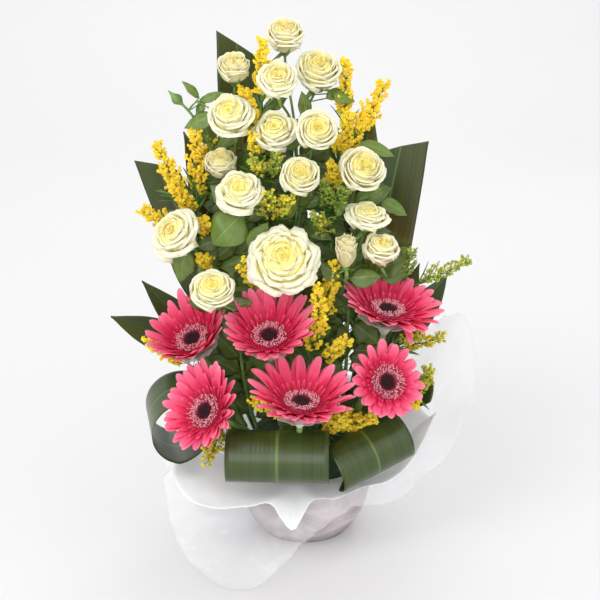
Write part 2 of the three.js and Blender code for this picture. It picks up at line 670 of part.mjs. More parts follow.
// A toothed leaf about its middle, with a thin stalk from where it leaves its stem.
function roseLeaf(leaf, start, bend) {
  const [length, width] = leaf.size;
  const foot = leafFoot(leaf);
  const { tip, side, out } = leafAxes(leaf);
  const stalk = new THREE.QuadraticBezierCurve3(start, start.clone().lerp(foot, 0.5).add(bend), foot);
  const shares = [0.12, 0.9, 1.0, 0.62, 0.06];
  const stalkRows = 2;
  const rows = stalkRows + shares.length - 1;
  return blade(1, rows, 0.9, (u, v) => {
    const row = v * rows;
    if (Math.round(row) < stalkRows) {
      return stalk.getPoint(Math.min(1, row / stalkRows)).addScaledVector(side, u);
    }
    const share = (row - stalkRows) / (shares.length - 1);
    const half = (width / 2) * shares[Math.round(row) - stalkRows];
    return foot.clone().addScaledVector(tip, share * length * 0.96)
      .addScaledVector(side, u * half)
      .addScaledVector(out, length * 0.3 * (share - share * share));
  });
}

function leafAxes(leaf) {
  const tip = vec(leaf.tip).normalize();
  const side = new THREE.Vector3().crossVectors(tip, vec(leaf.face)).normalize();
  const out = new THREE.Vector3().crossVectors(side, tip).normalize();
  return { tip, side, out };
}

function leafFoot(leaf) {
  const { tip, out } = leafAxes(leaf);
  return vec(leaf.at).addScaledVector(tip, -0.48 * leaf.size[0]).addScaledVector(out, -0.075 * leaf.size[0]);
}

function roseSpray(spray) {
  const fork = vec(spray.fork);
  const socket = socketPoint(spray.socket);
  const upwards = fork.clone().sub(socket).normalize();
  const trunk = bentClear(spray.name, [socket, fork], (bend) => stemCurve(socket, fork, upwards, bend),
    (curve) => tube(curve, ROSE_STEM_R, 4, 4));
  pierce(trunk.curve, ROSE_STEM_R, 4);
  const pieces = [trunk.solid];
  const curves = [trunk.curve];
  const heads = spray.roses.map((name) => {
    const rose = ROSES.find((entry) => entry.name === name);
    return { name, base: roseBase(rose), facing: vec(rose.facing).normalize(), width: rose.width };
  });
  if (spray.bud) {
    const facing = vec(spray.bud.facing).normalize();
    heads.push({ name: 'bud', base: vec(spray.bud.at), facing, width: spray.bud.width });
    pieces.push(turned([[0, -1], [3, -1], [5.6, 4], [3.9, 9.5], [0, 17]], 6)
      .transform(placeFacing(vec(spray.bud.at), facing).elements));
  }
  for (const head of heads) {
    const end = head.base.clone().addScaledVector(head.facing, -0.17 * head.width);
    const start = nearestOn([trunk.curve], end.clone().add(vec([0, 0, -25])));
    const makeCurve = (bend) => new THREE.CubicBezierCurve3(start,
      start.clone().lerp(end, 0.35).add(vec([0, 0, 6])).add(bend),
      end.clone().addScaledVector(head.facing, -0.32 * start.distanceTo(end)).addScaledVector(bend, 0.7),
      end);
    const twig = bentClear(head.name, [start, end], makeCurve, (curve) => tube(curve, ROSE_TWIG_R, 3, 3));
    curves.push(twig.curve);
    pieces.push(twig.solid, calyx(head.base, head.facing, head.width));
  }
  for (const leaf of spray.leaves) {
    const foot = leafFoot(leaf);
    const start = nearestOn(curves, foot);
    const makeLeaf = (bend) => roseLeaf(leaf, start, bend);
    pieces.push(bentClear(`${spray.name} leaf`, [start, foot], (bend) => bend, makeLeaf).solid);
  }
  return joined(pieces);
}

// ---------------------------------------------------------------- goldenrod

function goldenrodSpray(spray) {
  const socket = socketPoint(spray.socket);
  const top = vec(spray.top);
  const upwards = top.clone().sub(socket).normalize();
  const trunk = bentClear(spray.name, [socket, top], (bend) => stemCurve(socket, top, upwards, bend),
    (curve) => tube(curve, GOLDENROD_STEM_R, 3, 4));
  pierce(trunk.curve, GOLDENROD_STEM_R, 4);
  const pieces = [trunk.solid];
  for (const place of spray.tips) {
    const tip = vec(place.slice(0, 3));
    const start = nearestOn([trunk.curve], tip.clone().add(vec([0, 0, -tip.distanceTo(top) * 0.4])));
    const hanging = start.clone().lerp(tip, 0.55).add(vec([0, 0, -6]));
    const middle = place.length > 3 ? vec(place.slice(3)) : hanging;
    const makeCurve = (bend) => new THREE.QuadraticBezierCurve3(start, middle.clone().add(bend), tip);
    pieces.push(bentClear(`${spray.name} branch`, [start, tip], makeCurve, plume).solid);
  }
  return joined(pieces);
}

// A thin branch whose outer part is crowded with florets, drawn out of it in staggered points.
function plume(curve) {
  const rows = 5;
  const bare = 1;
  const length = curve.getLength();
  const crowded = Math.max(0.28, 1 - CLUSTER / length);
  const geometry = new THREE.CylinderGeometry(1, 1, 1, 3, rows);
  const spots = geometry.attributes.position;
  for (let i = 0; i < spots.count; i += 1) {
    const row = Math.round((spots.getY(i) + 0.5) * rows);
    const t = row <= bare ? (row / bare) * crowded : crowded + ((row - bare) / (rows - bare)) * (1 - crowded);
    const floret = row > bare && row % 2 === 0 ? 4.6 - 2.2 * (row / rows) : 1.3;
    const radius = row <= bare ? GOLDENROD_TWIG_R : floret;
    const turn = Math.atan2(spots.getZ(i), spots.getX(i)) + (row > bare ? row * 0.5 : 0);
    const place = placeFacing(curve.getPoint(t), curve.getTangent(t));
    const across = Math.hypot(spots.getX(i), spots.getZ(i)) < 0.5 ? 0 : radius;
    const spot = vec([across * Math.cos(turn), -across * Math.sin(turn), 0]).applyMatrix4(place);
    spots.setXYZ(i, ...spot);
  }
  return outward(toSolid(geometry), geometry);
}

// ---------------------------------------------------------------- broad leaves

// A broad pointed leaf, folded along its midrib, on a stalk of its own down into the foam.
function pointedLeaf(leaf) {
  const foot = vec(leaf.foot);
  const tip = vec(leaf.tip);
  const socket = socketPoint(leaf.socket);
  const length = foot.distanceTo(tip);
  const along = tip.clone().sub(foot).normalize();
  const face = vec([Math.sin(leaf.turn), -Math.cos(leaf.turn), 0]);
  const side = new THREE.Vector3().crossVectors(along, face).normalize();
  const out = new THREE.Vector3().crossVectors(side, along).normalize();
  const slant = leaf.slant ?? 0;
  const shares = slant ? [0.1, 0.78, 1.0, 0.96, 0.9, 0.8] : [0.1, 0.78, 1.0, 0.86, 0.49, 0.03];
  const stalkRows = 3;
  const rows = stalkRows + shares.length - 1;
  const makeCurve = (bend) => stemCurve(socket, foot, along, bend);
  const thickness = (v) => (v * rows < stalkRows - 0.5 ? 2 * STALK_R : LEAF);
  const makeSolid = (curve) => blade(2, rows, thickness, (u, v) => {
    const row = v * rows;
    const fold = Math.abs(u) * 0.22;
    if (Math.round(row) < stalkRows) {
      return curve.getPointAt(Math.min(1, row / stalkRows)).addScaledVector(side, u * STALK_R);
    }
    const share = (row - stalkRows) / (shares.length - 1);
    const half = (leaf.width / 2) * shares[Math.round(row) - stalkRows];
    const wave = Math.sin(share * 9 + u) * leaf.width * 0.012;
    const cut = 1 - Math.abs(slant) * share * share * (1 - u * Math.sign(slant)) * 0.5;
    return foot.clone().addScaledVector(along, share * length * cut)
      .addScaledVector(side, u * half)
      .addScaledVector(out, fold * half - Math.sin(share * Math.PI) * length * 0.05 + wave);
  });
  const grown = bentClear('a pointed leaf', [socket, foot], makeCurve, makeSolid);
  pierce(grown.curve, STALK_R * Math.SQRT2, 3);
  return grown.solid;
}

// A leaf that leaves the foam, goes over the top of its loop, down its front and back underneath.
function loopedLeaf(leaf) {
  const [from, to] = leaf.ends.map(vec);
  const axis = to.clone().sub(from).normalize();
  const middle = from.clone().lerp(to, 0.5);
  const stalkFoot = vec(leaf.stalk);
  const inwards = stalkFoot.clone().sub(middle);
  inwards.addScaledVector(axis, -inwards.dot(axis)).normalize();
  const over = new THREE.Vector3().crossVectors(axis, inwards).normalize();
  if (over.z < 0) over.negate();
  const half = from.distanceTo(to) / 2;
  const solid = blade(1, 10, LEAF, (u, v) => {
    const angle = (20 + 318 * v) * (Math.PI / 180);
    const radius = leaf.radius * (1 - 0.1 * v);
    const share = Math.min(1, 0.3 + 4.2 * v, 0.45 + 3.4 * (1 - v));
    return middle.clone().addScaledVector(axis, u * half * share)
      .addScaledVector(inwards, radius * Math.cos(angle))
      .addScaledVector(over, radius * Math.sin(angle));
  });
  const start = middle.clone().addScaledVector(inwards, leaf.radius * Math.cos(0.35))
    .addScaledVector(over, leaf.radius * Math.sin(0.35));
  const reach = stalkFoot.clone().sub(start);
  const run = new THREE.QuadraticBezierCurve3(start, start.clone().addScaledVector(reach, 0.5), stalkFoot);
  pierce(run, STALK_R, 3, 1);
  return joined([solid, tube(run, STALK_R, 4, 3)]);
}

// ---------------------------------------------------------------- foam

function foam() {
  const block = turned([
    [0, BOWL_WALL + GAP], [40, BOWL_WALL + GAP], [54, 27], [FOAM_R, 50], [FOAM_R, 80],
    [52, FOAM_TOP], [0, FOAM_TOP],
  ], 14);
  return joined([block.subtract(wasm.Manifold.union(holes))]);
}

// ---------------------------------------------------------------- putting it together

const random = seeded(11);

addNode('bowl', bowl(), COLOURS.bowl);
addNode('film_wrap', sheet(FILM_EDGE, 64.2, BOWL_RIM_Z + 0.8, 28, 1.25), COLOURS.film);
addNode('paper_wrap', sheet(PAPER_EDGE, 62.7, BOWL_RIM_Z + 2.2, 28, 1), COLOURS.paper);
for (const flower of GERBERAS) {
  addNode(`${flower.name}_bloom`, gerberaBloom(flower, random), COLOURS.petalPink);
}
for (const rose of ROSES) addNode(rose.name, roseBloom(rose, random), COLOURS.petalCream);
for (const leaf of LOOPED_LEAVES) addNode(leaf.name, loopedLeaf(leaf), COLOURS.leaf);
for (const flower of GERBERAS.filter((entry) => entry.cup)) {
  addNode(`${flower.name}_cup`, clearCup(flower), COLOURS.clearCup);
}
for (const flower of GERBERAS) addNode(`${flower.name}_stem`, gerberaStem(flower), COLOURS.stem);
POINTED_LEAVES.forEach((leaf, i) => addNode(`pointed_leaf_${i + 1}`, pointedLeaf(leaf), COLOURS.leaf));
for (const spray of ROSE_SPRAYS) addNode(spray.name, roseSpray(spray), COLOURS.roseLeaf);
for (const spray of GOLDENROD) addNode(spray.name, goldenrodSpray(spray), COLOURS.goldenrod);
addNode('floral_foam', foam(), COLOURS.foam);

export default arrangement;
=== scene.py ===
"""A fan-shaped flower arrangement in a bowl: gerberas, spray roses, goldenrod and broad leaves,
with a collar of looped leaves over white tissue paper and clear film."""

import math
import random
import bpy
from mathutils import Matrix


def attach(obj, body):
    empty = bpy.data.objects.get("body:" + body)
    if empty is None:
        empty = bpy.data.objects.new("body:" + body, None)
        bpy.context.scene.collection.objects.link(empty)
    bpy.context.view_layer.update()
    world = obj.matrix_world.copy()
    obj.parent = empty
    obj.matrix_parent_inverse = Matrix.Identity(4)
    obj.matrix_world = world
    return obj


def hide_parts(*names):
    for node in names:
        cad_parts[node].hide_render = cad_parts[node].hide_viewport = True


bl_info = {
    "name": "Flower Basket Arrangement",
    "version": (1, 0, 0),
    "blender": (4, 5, 0),
    "location": "View3D > Sidebar > Arrangement",
    "description": "Dresses a fan-shaped arrangement of flowers and broad leaves in a bowl",
    "category": "Add Mesh",
}

import bmesh
import bpy
from bpy.props import FloatProperty, FloatVectorProperty, IntProperty, PointerProperty
from mathutils import Matrix, Vector, noise
from mathutils.bvhtree import BVHTree

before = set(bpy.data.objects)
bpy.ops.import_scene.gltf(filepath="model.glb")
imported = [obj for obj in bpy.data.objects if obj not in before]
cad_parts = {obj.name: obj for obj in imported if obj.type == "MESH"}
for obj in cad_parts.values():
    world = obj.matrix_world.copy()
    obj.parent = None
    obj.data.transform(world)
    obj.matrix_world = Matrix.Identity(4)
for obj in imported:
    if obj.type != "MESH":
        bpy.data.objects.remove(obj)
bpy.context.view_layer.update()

MM = 0.001
UP = Vector((0, 0, 1))
WELD = 1e-3               # points nearer than this become one
GOLDEN_ANGLE = 2.39996    # spreads points evenly over a round disc

# ---------------------------------------------------------------- places, in millimetres

FOAM_TOP = 112
SOCKET_Z = 84                   # how deep the stems reach into the foam
FAN_CENTRE = Vector((0, 4, 10))  # stems spread as if they came from here

ROSE_STEM_R = 2.0
ROSE_TWIG_R = 1.3
GERBERA_STEM_R = 2.9
GERBERA_NECK = 30               # straight length of stem under a gerbera
GOLDENROD_STEM_R = 1.5
GOLDENROD_TWIG_R = 0.9
STALK_R = 2.4

# How thick each thin piece is.
RAY_THICKNESS = 0.4
BRACT_THICKNESS = 0.35
CUP_THICKNESS = 0.4
SEPAL_THICKNESS = 0.4
ROSE_LEAF_THICKNESS = 0.4
NARROW_LEAF_THICKNESS = 0.3
POINTED_LEAF_THICKNESS = 0.7
LOOPED_LEAF_THICKNESS = 0.8
PAPER_THICKNESS = 0.3
FILM_THICKNESS = 0.25

# Each rose: middle, width, facing, depth as a share of width, form.
ROSES = {
    "rose_01": ((-20, 28, 517), 42, (0, -0.5, 0.87), 0.8, "cup"),
    "rose_02": ((-70, 8, 489), 37, (0, -0.45, 0.9), 0.8, "tight"),
    "rose_03": ((-27, -6, 479), 40, (0, -0.7, 0.7), 0.8, "loose"),
    "rose_04": ((12, 28, 481), 49, (0.1, -0.6, 0.8), 0.8, "rosette"),
    "rose_05": ((-73, -10, 444), 46, (-0.1, -0.7, 0.7), 0.8, "loose"),
    "rose_06": ((-29, -8, 428), 43, (-0.1, -0.7, 0.7), 0.8, "loose"),
    "rose_07": ((11, -32, 435), 43, (0.1, -0.85, 0.5), 0.8, "rosette"),
    "rose_08": ((-83, -8, 396), 36, (-0.1, -0.4, 0.9), 0.8, "tight"),
    "rose_09": ((-63, -46, 376), 46, (-0.1, -0.65, 0.75), 0.68, "open"),
    "rose_10": ((-5, -42, 391), 42, (0.05, -0.75, 0.65), 0.8, "rosette"),
    "rose_11": ((56, -24, 394), 48, (0.15, -0.8, 0.6), 0.8, "cup"),
    "rose_12": ((61, -26, 346), 44, (0.15, -0.3, 0.95), 0.52, "open"),
    "rose_13": ((40, -58, 321), 31, (0, -0.15, 1), 1.1, "bud"),
    "rose_14": ((75, -40, 316), 37, (0.1, -0.4, 0.9), 0.8, "loose"),
    "rose_15": ((-125, -44, 333), 50, (-0.45, -0.65, 0.6), 0.75, "open"),
    "rose_16": ((-22, -72, 317), 70, (0, -0.8, 0.6), 0.5, "full"),
    "rose_17": ((-89, -90, 290), 47, (-0.05, -0.6, 0.8), 0.62, "rosette"),
}

# Each gerbera: middle of the eye, radius of the petals, facing, whether it has a clear cup, and for its front
# and back petals their share of that radius and how steeply they rise, in radians.
GERBERAS = {
    "gerbera_1": ((-111, -58, 229), 45, (-0.32, -0.46, 0.82), True, (0.93, 1.0), (0.9, 0.9)),
    "gerbera_2": ((-35, -84, 241), 47, (-0.04, -0.43, 0.9), True, (0.91, 1.09), (0.63, 0.77)),
    "gerbera_3": ((82, -52, 257), 54, (0.14, -0.19, 0.97), True, (1.04, 0.9), (0.3, 0.77)),
    "gerbera_4": ((-4, -126, 188), 55, (0.05, -0.2, 0.98), True, (0.98, 1.0), (0.46, 0.69)),
    "gerbera_5": ((-96, -104, 171), 47, (-0.56, -0.61, 0.56), False, (0.93, 1.04), (0.5, 0.7)),
    "gerbera_6": ((79, -100, 200), 45, (0.34, -0.77, 0.54), False, (0.82, 0.94), (0.1, 0.47)),
}

# Each rose spray: socket in the foam, fork, roses, leaves. A leaf: middle, way its tip points, facing, size.
ROSE_SPRAYS = {
    "rose_spray_top": ((2, 22), (-10, 30, 425), ("rose_01", "rose_03", "rose_04"), (
        ((-31, 16, 452), (0.85, 0, 0.5), (-0.3, -0.8, 0.5), (30, 15)),
        ((0, 8, 453), (-0.2, 0, 1), (0.3, -0.9, 0.1), (28, 14)),
        ((39, 22, 459), (0.8, 0, -0.3), (0.2, -0.8, 0.6), (24, 15)),
        ((30, 26, 462), (0.6, 0.3, 0.3), (0, -0.9, 0.4), (22, 11)),
    )),
    "rose_spray_left_top": ((-22, 18), (-76, 16, 360), ("rose_02", "rose_05", "rose_08", "bud"), (
        ((-105, 6, 438), (-0.9, 0, -0.4), (0, -0.8, 0.5), (34, 17)),
        ((-78, 16, 416), (-0.6, 0, -0.6), (0.2, -0.8, 0.4), (32, 17)),
        ((-113, 18, 467), (-0.7, 0, 0.7), (0.4, -0.8, 0.4), (24, 9)),
        ((-92, 14, 461), (0.9, 0, 0.3), (-0.3, -0.8, 0.5), (26, 10)),
        ((-104, 16, 449), (-0.2, 0, -1), (-0.4, -0.9, 0), (24, 9)),
    )),
    "rose_spray_centre": ((-4, -8), (-12, 4, 300), ("rose_06", "rose_07", "rose_10", "rose_16"), (
        ((65, 2, 363), (0.9, 0, 0.4), (0, -0.9, 0.3), (36, 18)),
        ((-14, -18, 356), (0.1, 0, 1), (0.3, -0.9, 0.2), (30, 15)),
        ((35, -18, 356), (0.4, 0, 0.9), (-0.3, -0.9, 0.2), (24, 11)),
        ((13, -52, 262), (0.1, 0, 1), (0.2, -0.95, 0.2), (40, 26)),
    )),
    "rose_spray_left": ((-38, 0), (-74, -8, 270), ("rose_09", "rose_15", "rose_17"), (
        ((-77, -30, 336), (-0.7, -0.2, -0.7), (0.1, -0.85, 0.5), (44, 40)),
        ((-46, -40, 330), (0.5, 0, 0.85), (0, -0.9, 0.3), (36, 22)),
        ((-122, -30, 298), (-0.2, 0, -1), (-0.2, -0.9, 0.3), (36, 24)),
        ((-74, -38, 236), (-0.4, 0, 0.9), (0.2, -0.9, 0.2), (34, 20)),
    )),
    "rose_spray_right": ((26, 4), (46, 4, 270), ("rose_11", "rose_12", "rose_13", "rose_14"), (
        ((73, 6, 410), (0.9, 0, -0.4), (0.2, -0.8, 0.5), (38, 14)),
        ((90, 12, 348), (0.8, 0, -0.5), (0, -0.9, 0.4), (34, 15)),
        ((95, 2, 302), (0.9, 0, 0.3), (0, -0.9, 0.3), (30, 14)),
    )),
}
# How many of the leaves that fill the middle grow on each spray.
INNER_LEAVES = {
    "rose_spray_top": 50, "rose_spray_left_top": 60, "rose_spray_centre": 120, "rose_spray_left": 120,
    "rose_spray_right": 110,
}
GREEN_BUD = ((-124, 16, 454), (-0.7, 0, 0.7))   # foot and facing of the unopened bud

# Each goldenrod spray: socket, top of its stem, and tips of its branches with how ripe they are:
# 0 is green in bud, 1 is golden in full flower. A tip may name a point that its branch passes.
GOLDENROD = {
    "goldenrod_left": ((-40, 14), (-112, 14, 330), (
        ((-109, 6, 426), 1), ((-146, -8, 414), 1), ((-162, -14, 349), 0.9), ((-131, -10, 374), 1),
        ((-94, 26, 410), 0.8), ((-101, -24, 339), 1), ((-103, -40, 308), 0.9), ((-156, -45, 222), 0.8),
        ((-96, -104, 118), 0.5, (-76, -50, 150)),
    )),
    "goldenrod_middle": ((-16, 2), (-46, 4, 400), (
        ((-41, 10, 513), 0.9), ((-60, 4, 465), 0.9), ((-52, -20, 424), 0.7), ((-50, -40, 407), 0.4),
        ((-27, -34, 408), 0.3), ((-14, -46, 370), 0.5), ((-36, -52, 376), 0.4), ((-61, -56, 305), 0.8),
    )),
    "goldenrod_right": ((14, 10), (28, 14, 380), (
        ((79, 18, 471), 1), ((40, 34, 489), 0.9), ((66, 8, 446), 1), ((44, 6, 442), 0.9),
        ((27, -16, 394), 0.9), ((18, -34, 380), 0.15), ((39, -34, 376), 0.15), ((9, -42, 352), 0.3),
    )),
    "goldenrod_far_right": ((44, 8), (92, -4, 262), (
        ((163, -24, 300), 0.3), ((108, -20, 310), 0.2), ((80, 6, 279), 0.2),
        ((138, -40, 225), 0.5), ((124, -56, 196), 0.4), ((110, -76, 168), 0.9),
    )),
    "goldenrod_front": ((6, -30), (8, -52, 200), (
        ((12, -80, 290), 0.9), ((4, -64, 257), 0.8), ((30, -48, 303), 0.9), ((40, -74, 231), 0.8),
        ((-48, -94, 176), 0.7), ((67, -92, 158), 0.9), ((39, -98, 158), 0.8),
    )),
}

# Each pointed leaf: socket, foot of the blade, tip, width, turn about its length, and for a broad slanted top
# the share of its length that one edge is shorter by, above 0 where its right edge is the longer.
POINTED_LEAVES = (
    ((-12, 40), (-54, 56, 250), (-70, 62, 521), 50, 0.1, -0.11),
    ((-46, 26), (-92, 46, 210), (-155, 48, 395), 52, -0.2, -0.12),
    ((-53, 16), (-94, 34, 176), (-168, 14, 269), 34, 0, 0),
    ((-55, 3), (-112, 15, 192), (-199, -6, 237), 34, 0.2, 0),
    ((36, 34), (62, 44, 190), (100, 44, 414), 66, 0.1, 0.09),
    ((14, 44), (26, 60, 240), (71, 70, 436), 60, -0.1, 0),
    ((54, 2), (80, 22, 182), (118, 16, 287), 32, -0.3, 0),
    ((45, 27), (98, 42, 188), (147, 12, 277), 36, 0.3, 0),
    ((-30, 38), (-66, 62, 250), (-125, 62, 415), 44, 0, 0),
)

# Each looped leaf: the ends of the line it curls round, the loop's radius, where its stalk stands.
LOOPED_LEAVES = {
    "looped_leaf_front": (((-78, -96, 121), (24, -100, 121)), 27, (-26, -40, 100)),
    "looped_leaf_front_right": (((27, -102, 108), (98, -68, 132)), 25, (40, -34, 100)),
    "looped_leaf_left": (((-118, -72, 134), (-130, -8, 144)), 38, (-52, -18, 98)),
    "looped_leaf_right": (((72, 6, 162), (122, -30, 160)), 21, (54, -14, 98)),
}

# Corners of the two sheets, going round from the right.
PAPER_EDGE = (
    (134, -44, 143), (124, 8, 126), (96, 70, 150), (20, 108, 124), (-70, 92, 140), (-120, 30, 112),
    (-134, -60, 78), (-96, -100, 66), (-60, -112, 70), (-34, -112, 76), (-12, -122, 50), (10, -106, 76),
    (50, -100, 82), (102, -76, 98),
)
FILM_EDGE = (
    (166, 0, 108), (184, 30, 150), (164, 60, 220), (96, 112, 150), (0, 134, 84), (-90, 112, 108),
    (-146, 30, 70), (-140, -70, 44), (-104, -140, 12), (-54, -152, 6), (-20, -140, 24), (30, -104, 58),
    (76, -82, 62), (122, -58, 76),
)

# The photographer's place: the camera's height angle, distance and aim, in millimetres and degrees.
CAMERA_ELEVATION = 18
CAMERA_DISTANCE = 1600
CAMERA_AIM = (-5, 0, 252.5)
CAMERA_LENS = 93.6


# ---------------------------------------------------------------- settings a user would change

def linear(code):
    """An sRGB hex colour as linear red, green and blue."""
    parts = [int(code[i:i + 2], 16) / 255 for i in (1, 3, 5)]
    return tuple(c / 12.92 if c <= 0.04045 else ((c + 0.055) / 1.055) ** 2.4 for c in parts)


def colour(label, words, code):
    return FloatVectorProperty(name=label, description=words, default=linear(code), subtype="COLOR",
                               min=0, max=1)


class GerberaSettings(bpy.types.PropertyGroup):
    """The gerberas."""
    ray_count: IntProperty(name="Outer petals", description="Petals in a gerbera's outermost row",
                           default=18, min=9, max=30)
    ray_width: FloatProperty(name="Petal width", description="Widest part of an outer petal",
                             default=11.6 * MM, min=0.004, max=0.03, unit="LENGTH")
    tip: colour("Petal tip", "Colour of the petals' tips", "#ffb0c0")
    middle: colour("Petal middle", "Colour half way along a petal", "#fc5d82")
    root: colour("Petal root", "Colour beside the eye", "#c60c3c")


class RoseSettings(bpy.types.PropertyGroup):
    """The spray roses."""
    petal_thickness: FloatProperty(name="Petal thickness", description="Thickness of a rose petal",
                                   default=0.36 * MM, min=0.0002, max=0.002, unit="LENGTH")
    outside: colour("Outer petals", "Colour of the outermost petals", "#fdf6bd")
    heart: colour("Heart", "Colour of the petals in the middle", "#f9e573")


class FoliageSettings(bpy.types.PropertyGroup):
    """Leaves and goldenrod."""
    broad: colour("Broad leaves", "Colour of the broad leaves", "#394a1f")
    rose_leaf: colour("Rose leaves", "Colour of the rose leaves", "#60792a")
    floret: colour("Goldenrod", "Colour of ripe goldenrod florets", "#f0d82a")
    floret_size: FloatProperty(name="Floret size", description="Width of an open goldenrod floret",
                               default=3.5 * MM, min=0.002, max=0.008, unit="LENGTH")


class HolderSettings(bpy.types.PropertyGroup):
    """Bowl, paper and film."""
    bowl: colour("Bowl", "Main colour of the bowl", "#b4a8ac")
    paper: colour("Paper", "Colour of the tissue paper", "#fbfcff")
    film_crinkle: FloatProperty(name="Film crinkle", description="Depth of the creases in the clear film",
                                default=3.0 * MM, min=0.0, max=0.01, unit="LENGTH")


# ---------------------------------------------------------------- materials

def new_material(name):
    material = bpy.data.materials.new(name)
    material.use_nodes = True
    material.node_tree.nodes.clear()
    return material


def add(material, kind, inputs=None, stops=None, **settings):
    """Adds a shader node. Inputs are values, sockets to link, or nodes, which stand for their first output.
    Stops are a colour ramp's places and colours."""
    node = material.node_tree.nodes.new("ShaderNode" + kind)
    for name, value in settings.items():
        setattr(node, name, value)
    for name, value in (inputs or {}).items():
        if isinstance(value, bpy.types.Node):
            value = value.outputs[0]
        if isinstance(value, bpy.types.NodeSocket):
            material.node_tree.links.new(value, node.inputs[name])
        else:
            node.inputs[name].default_value = value
    if stops:
        ramp = node.color_ramp
        while len(ramp.elements) < len(stops):
            ramp.elements.new(1.0)
        for element, (place, shade) in zip(ramp.elements, stops):
            element.position = place
            element.color = (*(linear(shade) if isinstance(shade, str) else shade), 1)
    return node


def shaded(material, inputs):
    """Ends a material in one principled shader."""
    shader = add(material, "BsdfPrincipled", inputs)
    add(material, "OutputMaterial", {"Surface": shader.outputs["BSDF"]})
    return material


def gerbera_ray_material(settings):
    """Gerbera petal: thin living tissue, so light glows through it. Fine lengthwise furrows give it a satin
    look. It pales from crimson at the eye to pink at the tip."""
    m = new_material("gerbera petal")
    uv = add(m, "TexCoord").outputs["UV"]
    split = add(m, "SeparateXYZ", {"Vector": uv})
    tone = add(m, "Attribute", attribute_name="tone").outputs["Fac"]
    streak_map = add(m, "Mapping", {"Vector": uv, "Scale": (26, 1.6, 1)})
    streak = add(m, "TexNoise", {"Vector": streak_map, "Scale": 1.0, "Detail": 3.0})
    wander = add(m, "Math", {0: streak, 1: 0.3}, operation="MULTIPLY")
    along = add(m, "Math", {0: split.outputs["Y"], 1: wander}, operation="ADD")
    shift = add(m, "Math", {0: along, 1: tone}, operation="ADD")
    place = add(m, "Math", {0: shift, 1: 0.22}, operation="SUBTRACT")
    ramp = add(m, "ValToRGB", {"Fac": place}, stops=(
        (0.0, settings.root[:]), (0.22, "#e42a5a"), (0.5, settings.middle[:]), (0.78, "#ff849e"),
        (1.0, settings.tip[:])))
    furrow_map = add(m, "Mapping", {"Vector": uv, "Scale": (5, 0.4, 1)})
    furrow = add(m, "TexWave", {"Vector": furrow_map, "Scale": 0.6, "Distortion": 0.8},
                 wave_profile="SIN")
    bump = add(m, "Bump", {"Height": furrow.outputs["Fac"], "Strength": 0.35, "Distance": 0.5 * MM})
    return shaded(m, {
        "Base Color": ramp, "Roughness": 0.5, "Subsurface Weight": 0.5,
        "Subsurface Radius": (1.0, 0.4, 0.4), "Subsurface Scale": 2.0 * MM, "Normal": bump,
        "Specular IOR Level": 0.3, "Sheen Weight": 0.04, "Sheen Roughness": 0.4})


def gerbera_fringe_material():
    """Stamen fringe round a gerbera's eye: dark wine at the foot, creamy pink at the tips."""
    m = new_material("gerbera stamens")
    tone = add(m, "Attribute", attribute_name="tone").outputs["Fac"]
    ramp = add(m, "ValToRGB", {"Fac": tone}, stops=(
        (0.0, "#16060a"), (0.22, "#3f0b1c"), (0.42, "#a3274c"), (0.7, "#d8728a"), (1.0, "#f7c6c6")))
    return shaded(m, {"Base Color": ramp, "Roughness": 0.6, "Subsurface Weight": 0.1,
                      "Subsurface Scale": 0.5 * MM})


def rose_petal_material(name, settings, blush):
    """Rose petal: soft, slightly translucent tissue. Cream outside and palest at the
    rims, and yellow down in the heart."""
    m = new_material(name)
    uv = add(m, "TexCoord").outputs["UV"]
    split = add(m, "SeparateXYZ", {"Vector": uv})
    heart = add(m, "Attribute", attribute_name="tone").outputs["Fac"]
    rim = add(m, "MapRange", {"Value": split.outputs["Y"], "From Min": 0.7, "To Max": 0.6})
    depth = add(m, "ValToRGB", {"Fac": heart}, stops=(
        (0.0, blush), (0.14, settings.heart[:]), (0.45, "#fdf09a"), (0.85, settings.outside[:])))
    mixed = add(m, "Mix", {"Factor": rim, "A": depth,
                                     "B": (*linear("#fffce0"), 1)}, data_type="RGBA")
    vein_map = add(m, "Mapping", {"Vector": uv, "Scale": (16, 1.2, 1)})
    vein = add(m, "TexNoise", {"Vector": vein_map, "Scale": 1.0, "Detail": 4.0})
    bump = add(m, "Bump", {"Height": vein, "Strength": 0.3, "Distance": 0.4 * MM})
    return shaded(m, {
        "Base Color": mixed.outputs["Result"], "Roughness": 0.55, "Subsurface Weight": 0.55,
        "Subsurface Radius": (1.0, 0.85, 0.5), "Subsurface Scale": 3.5 * MM, "Normal": bump,
        "Sheen Weight": 0.1})


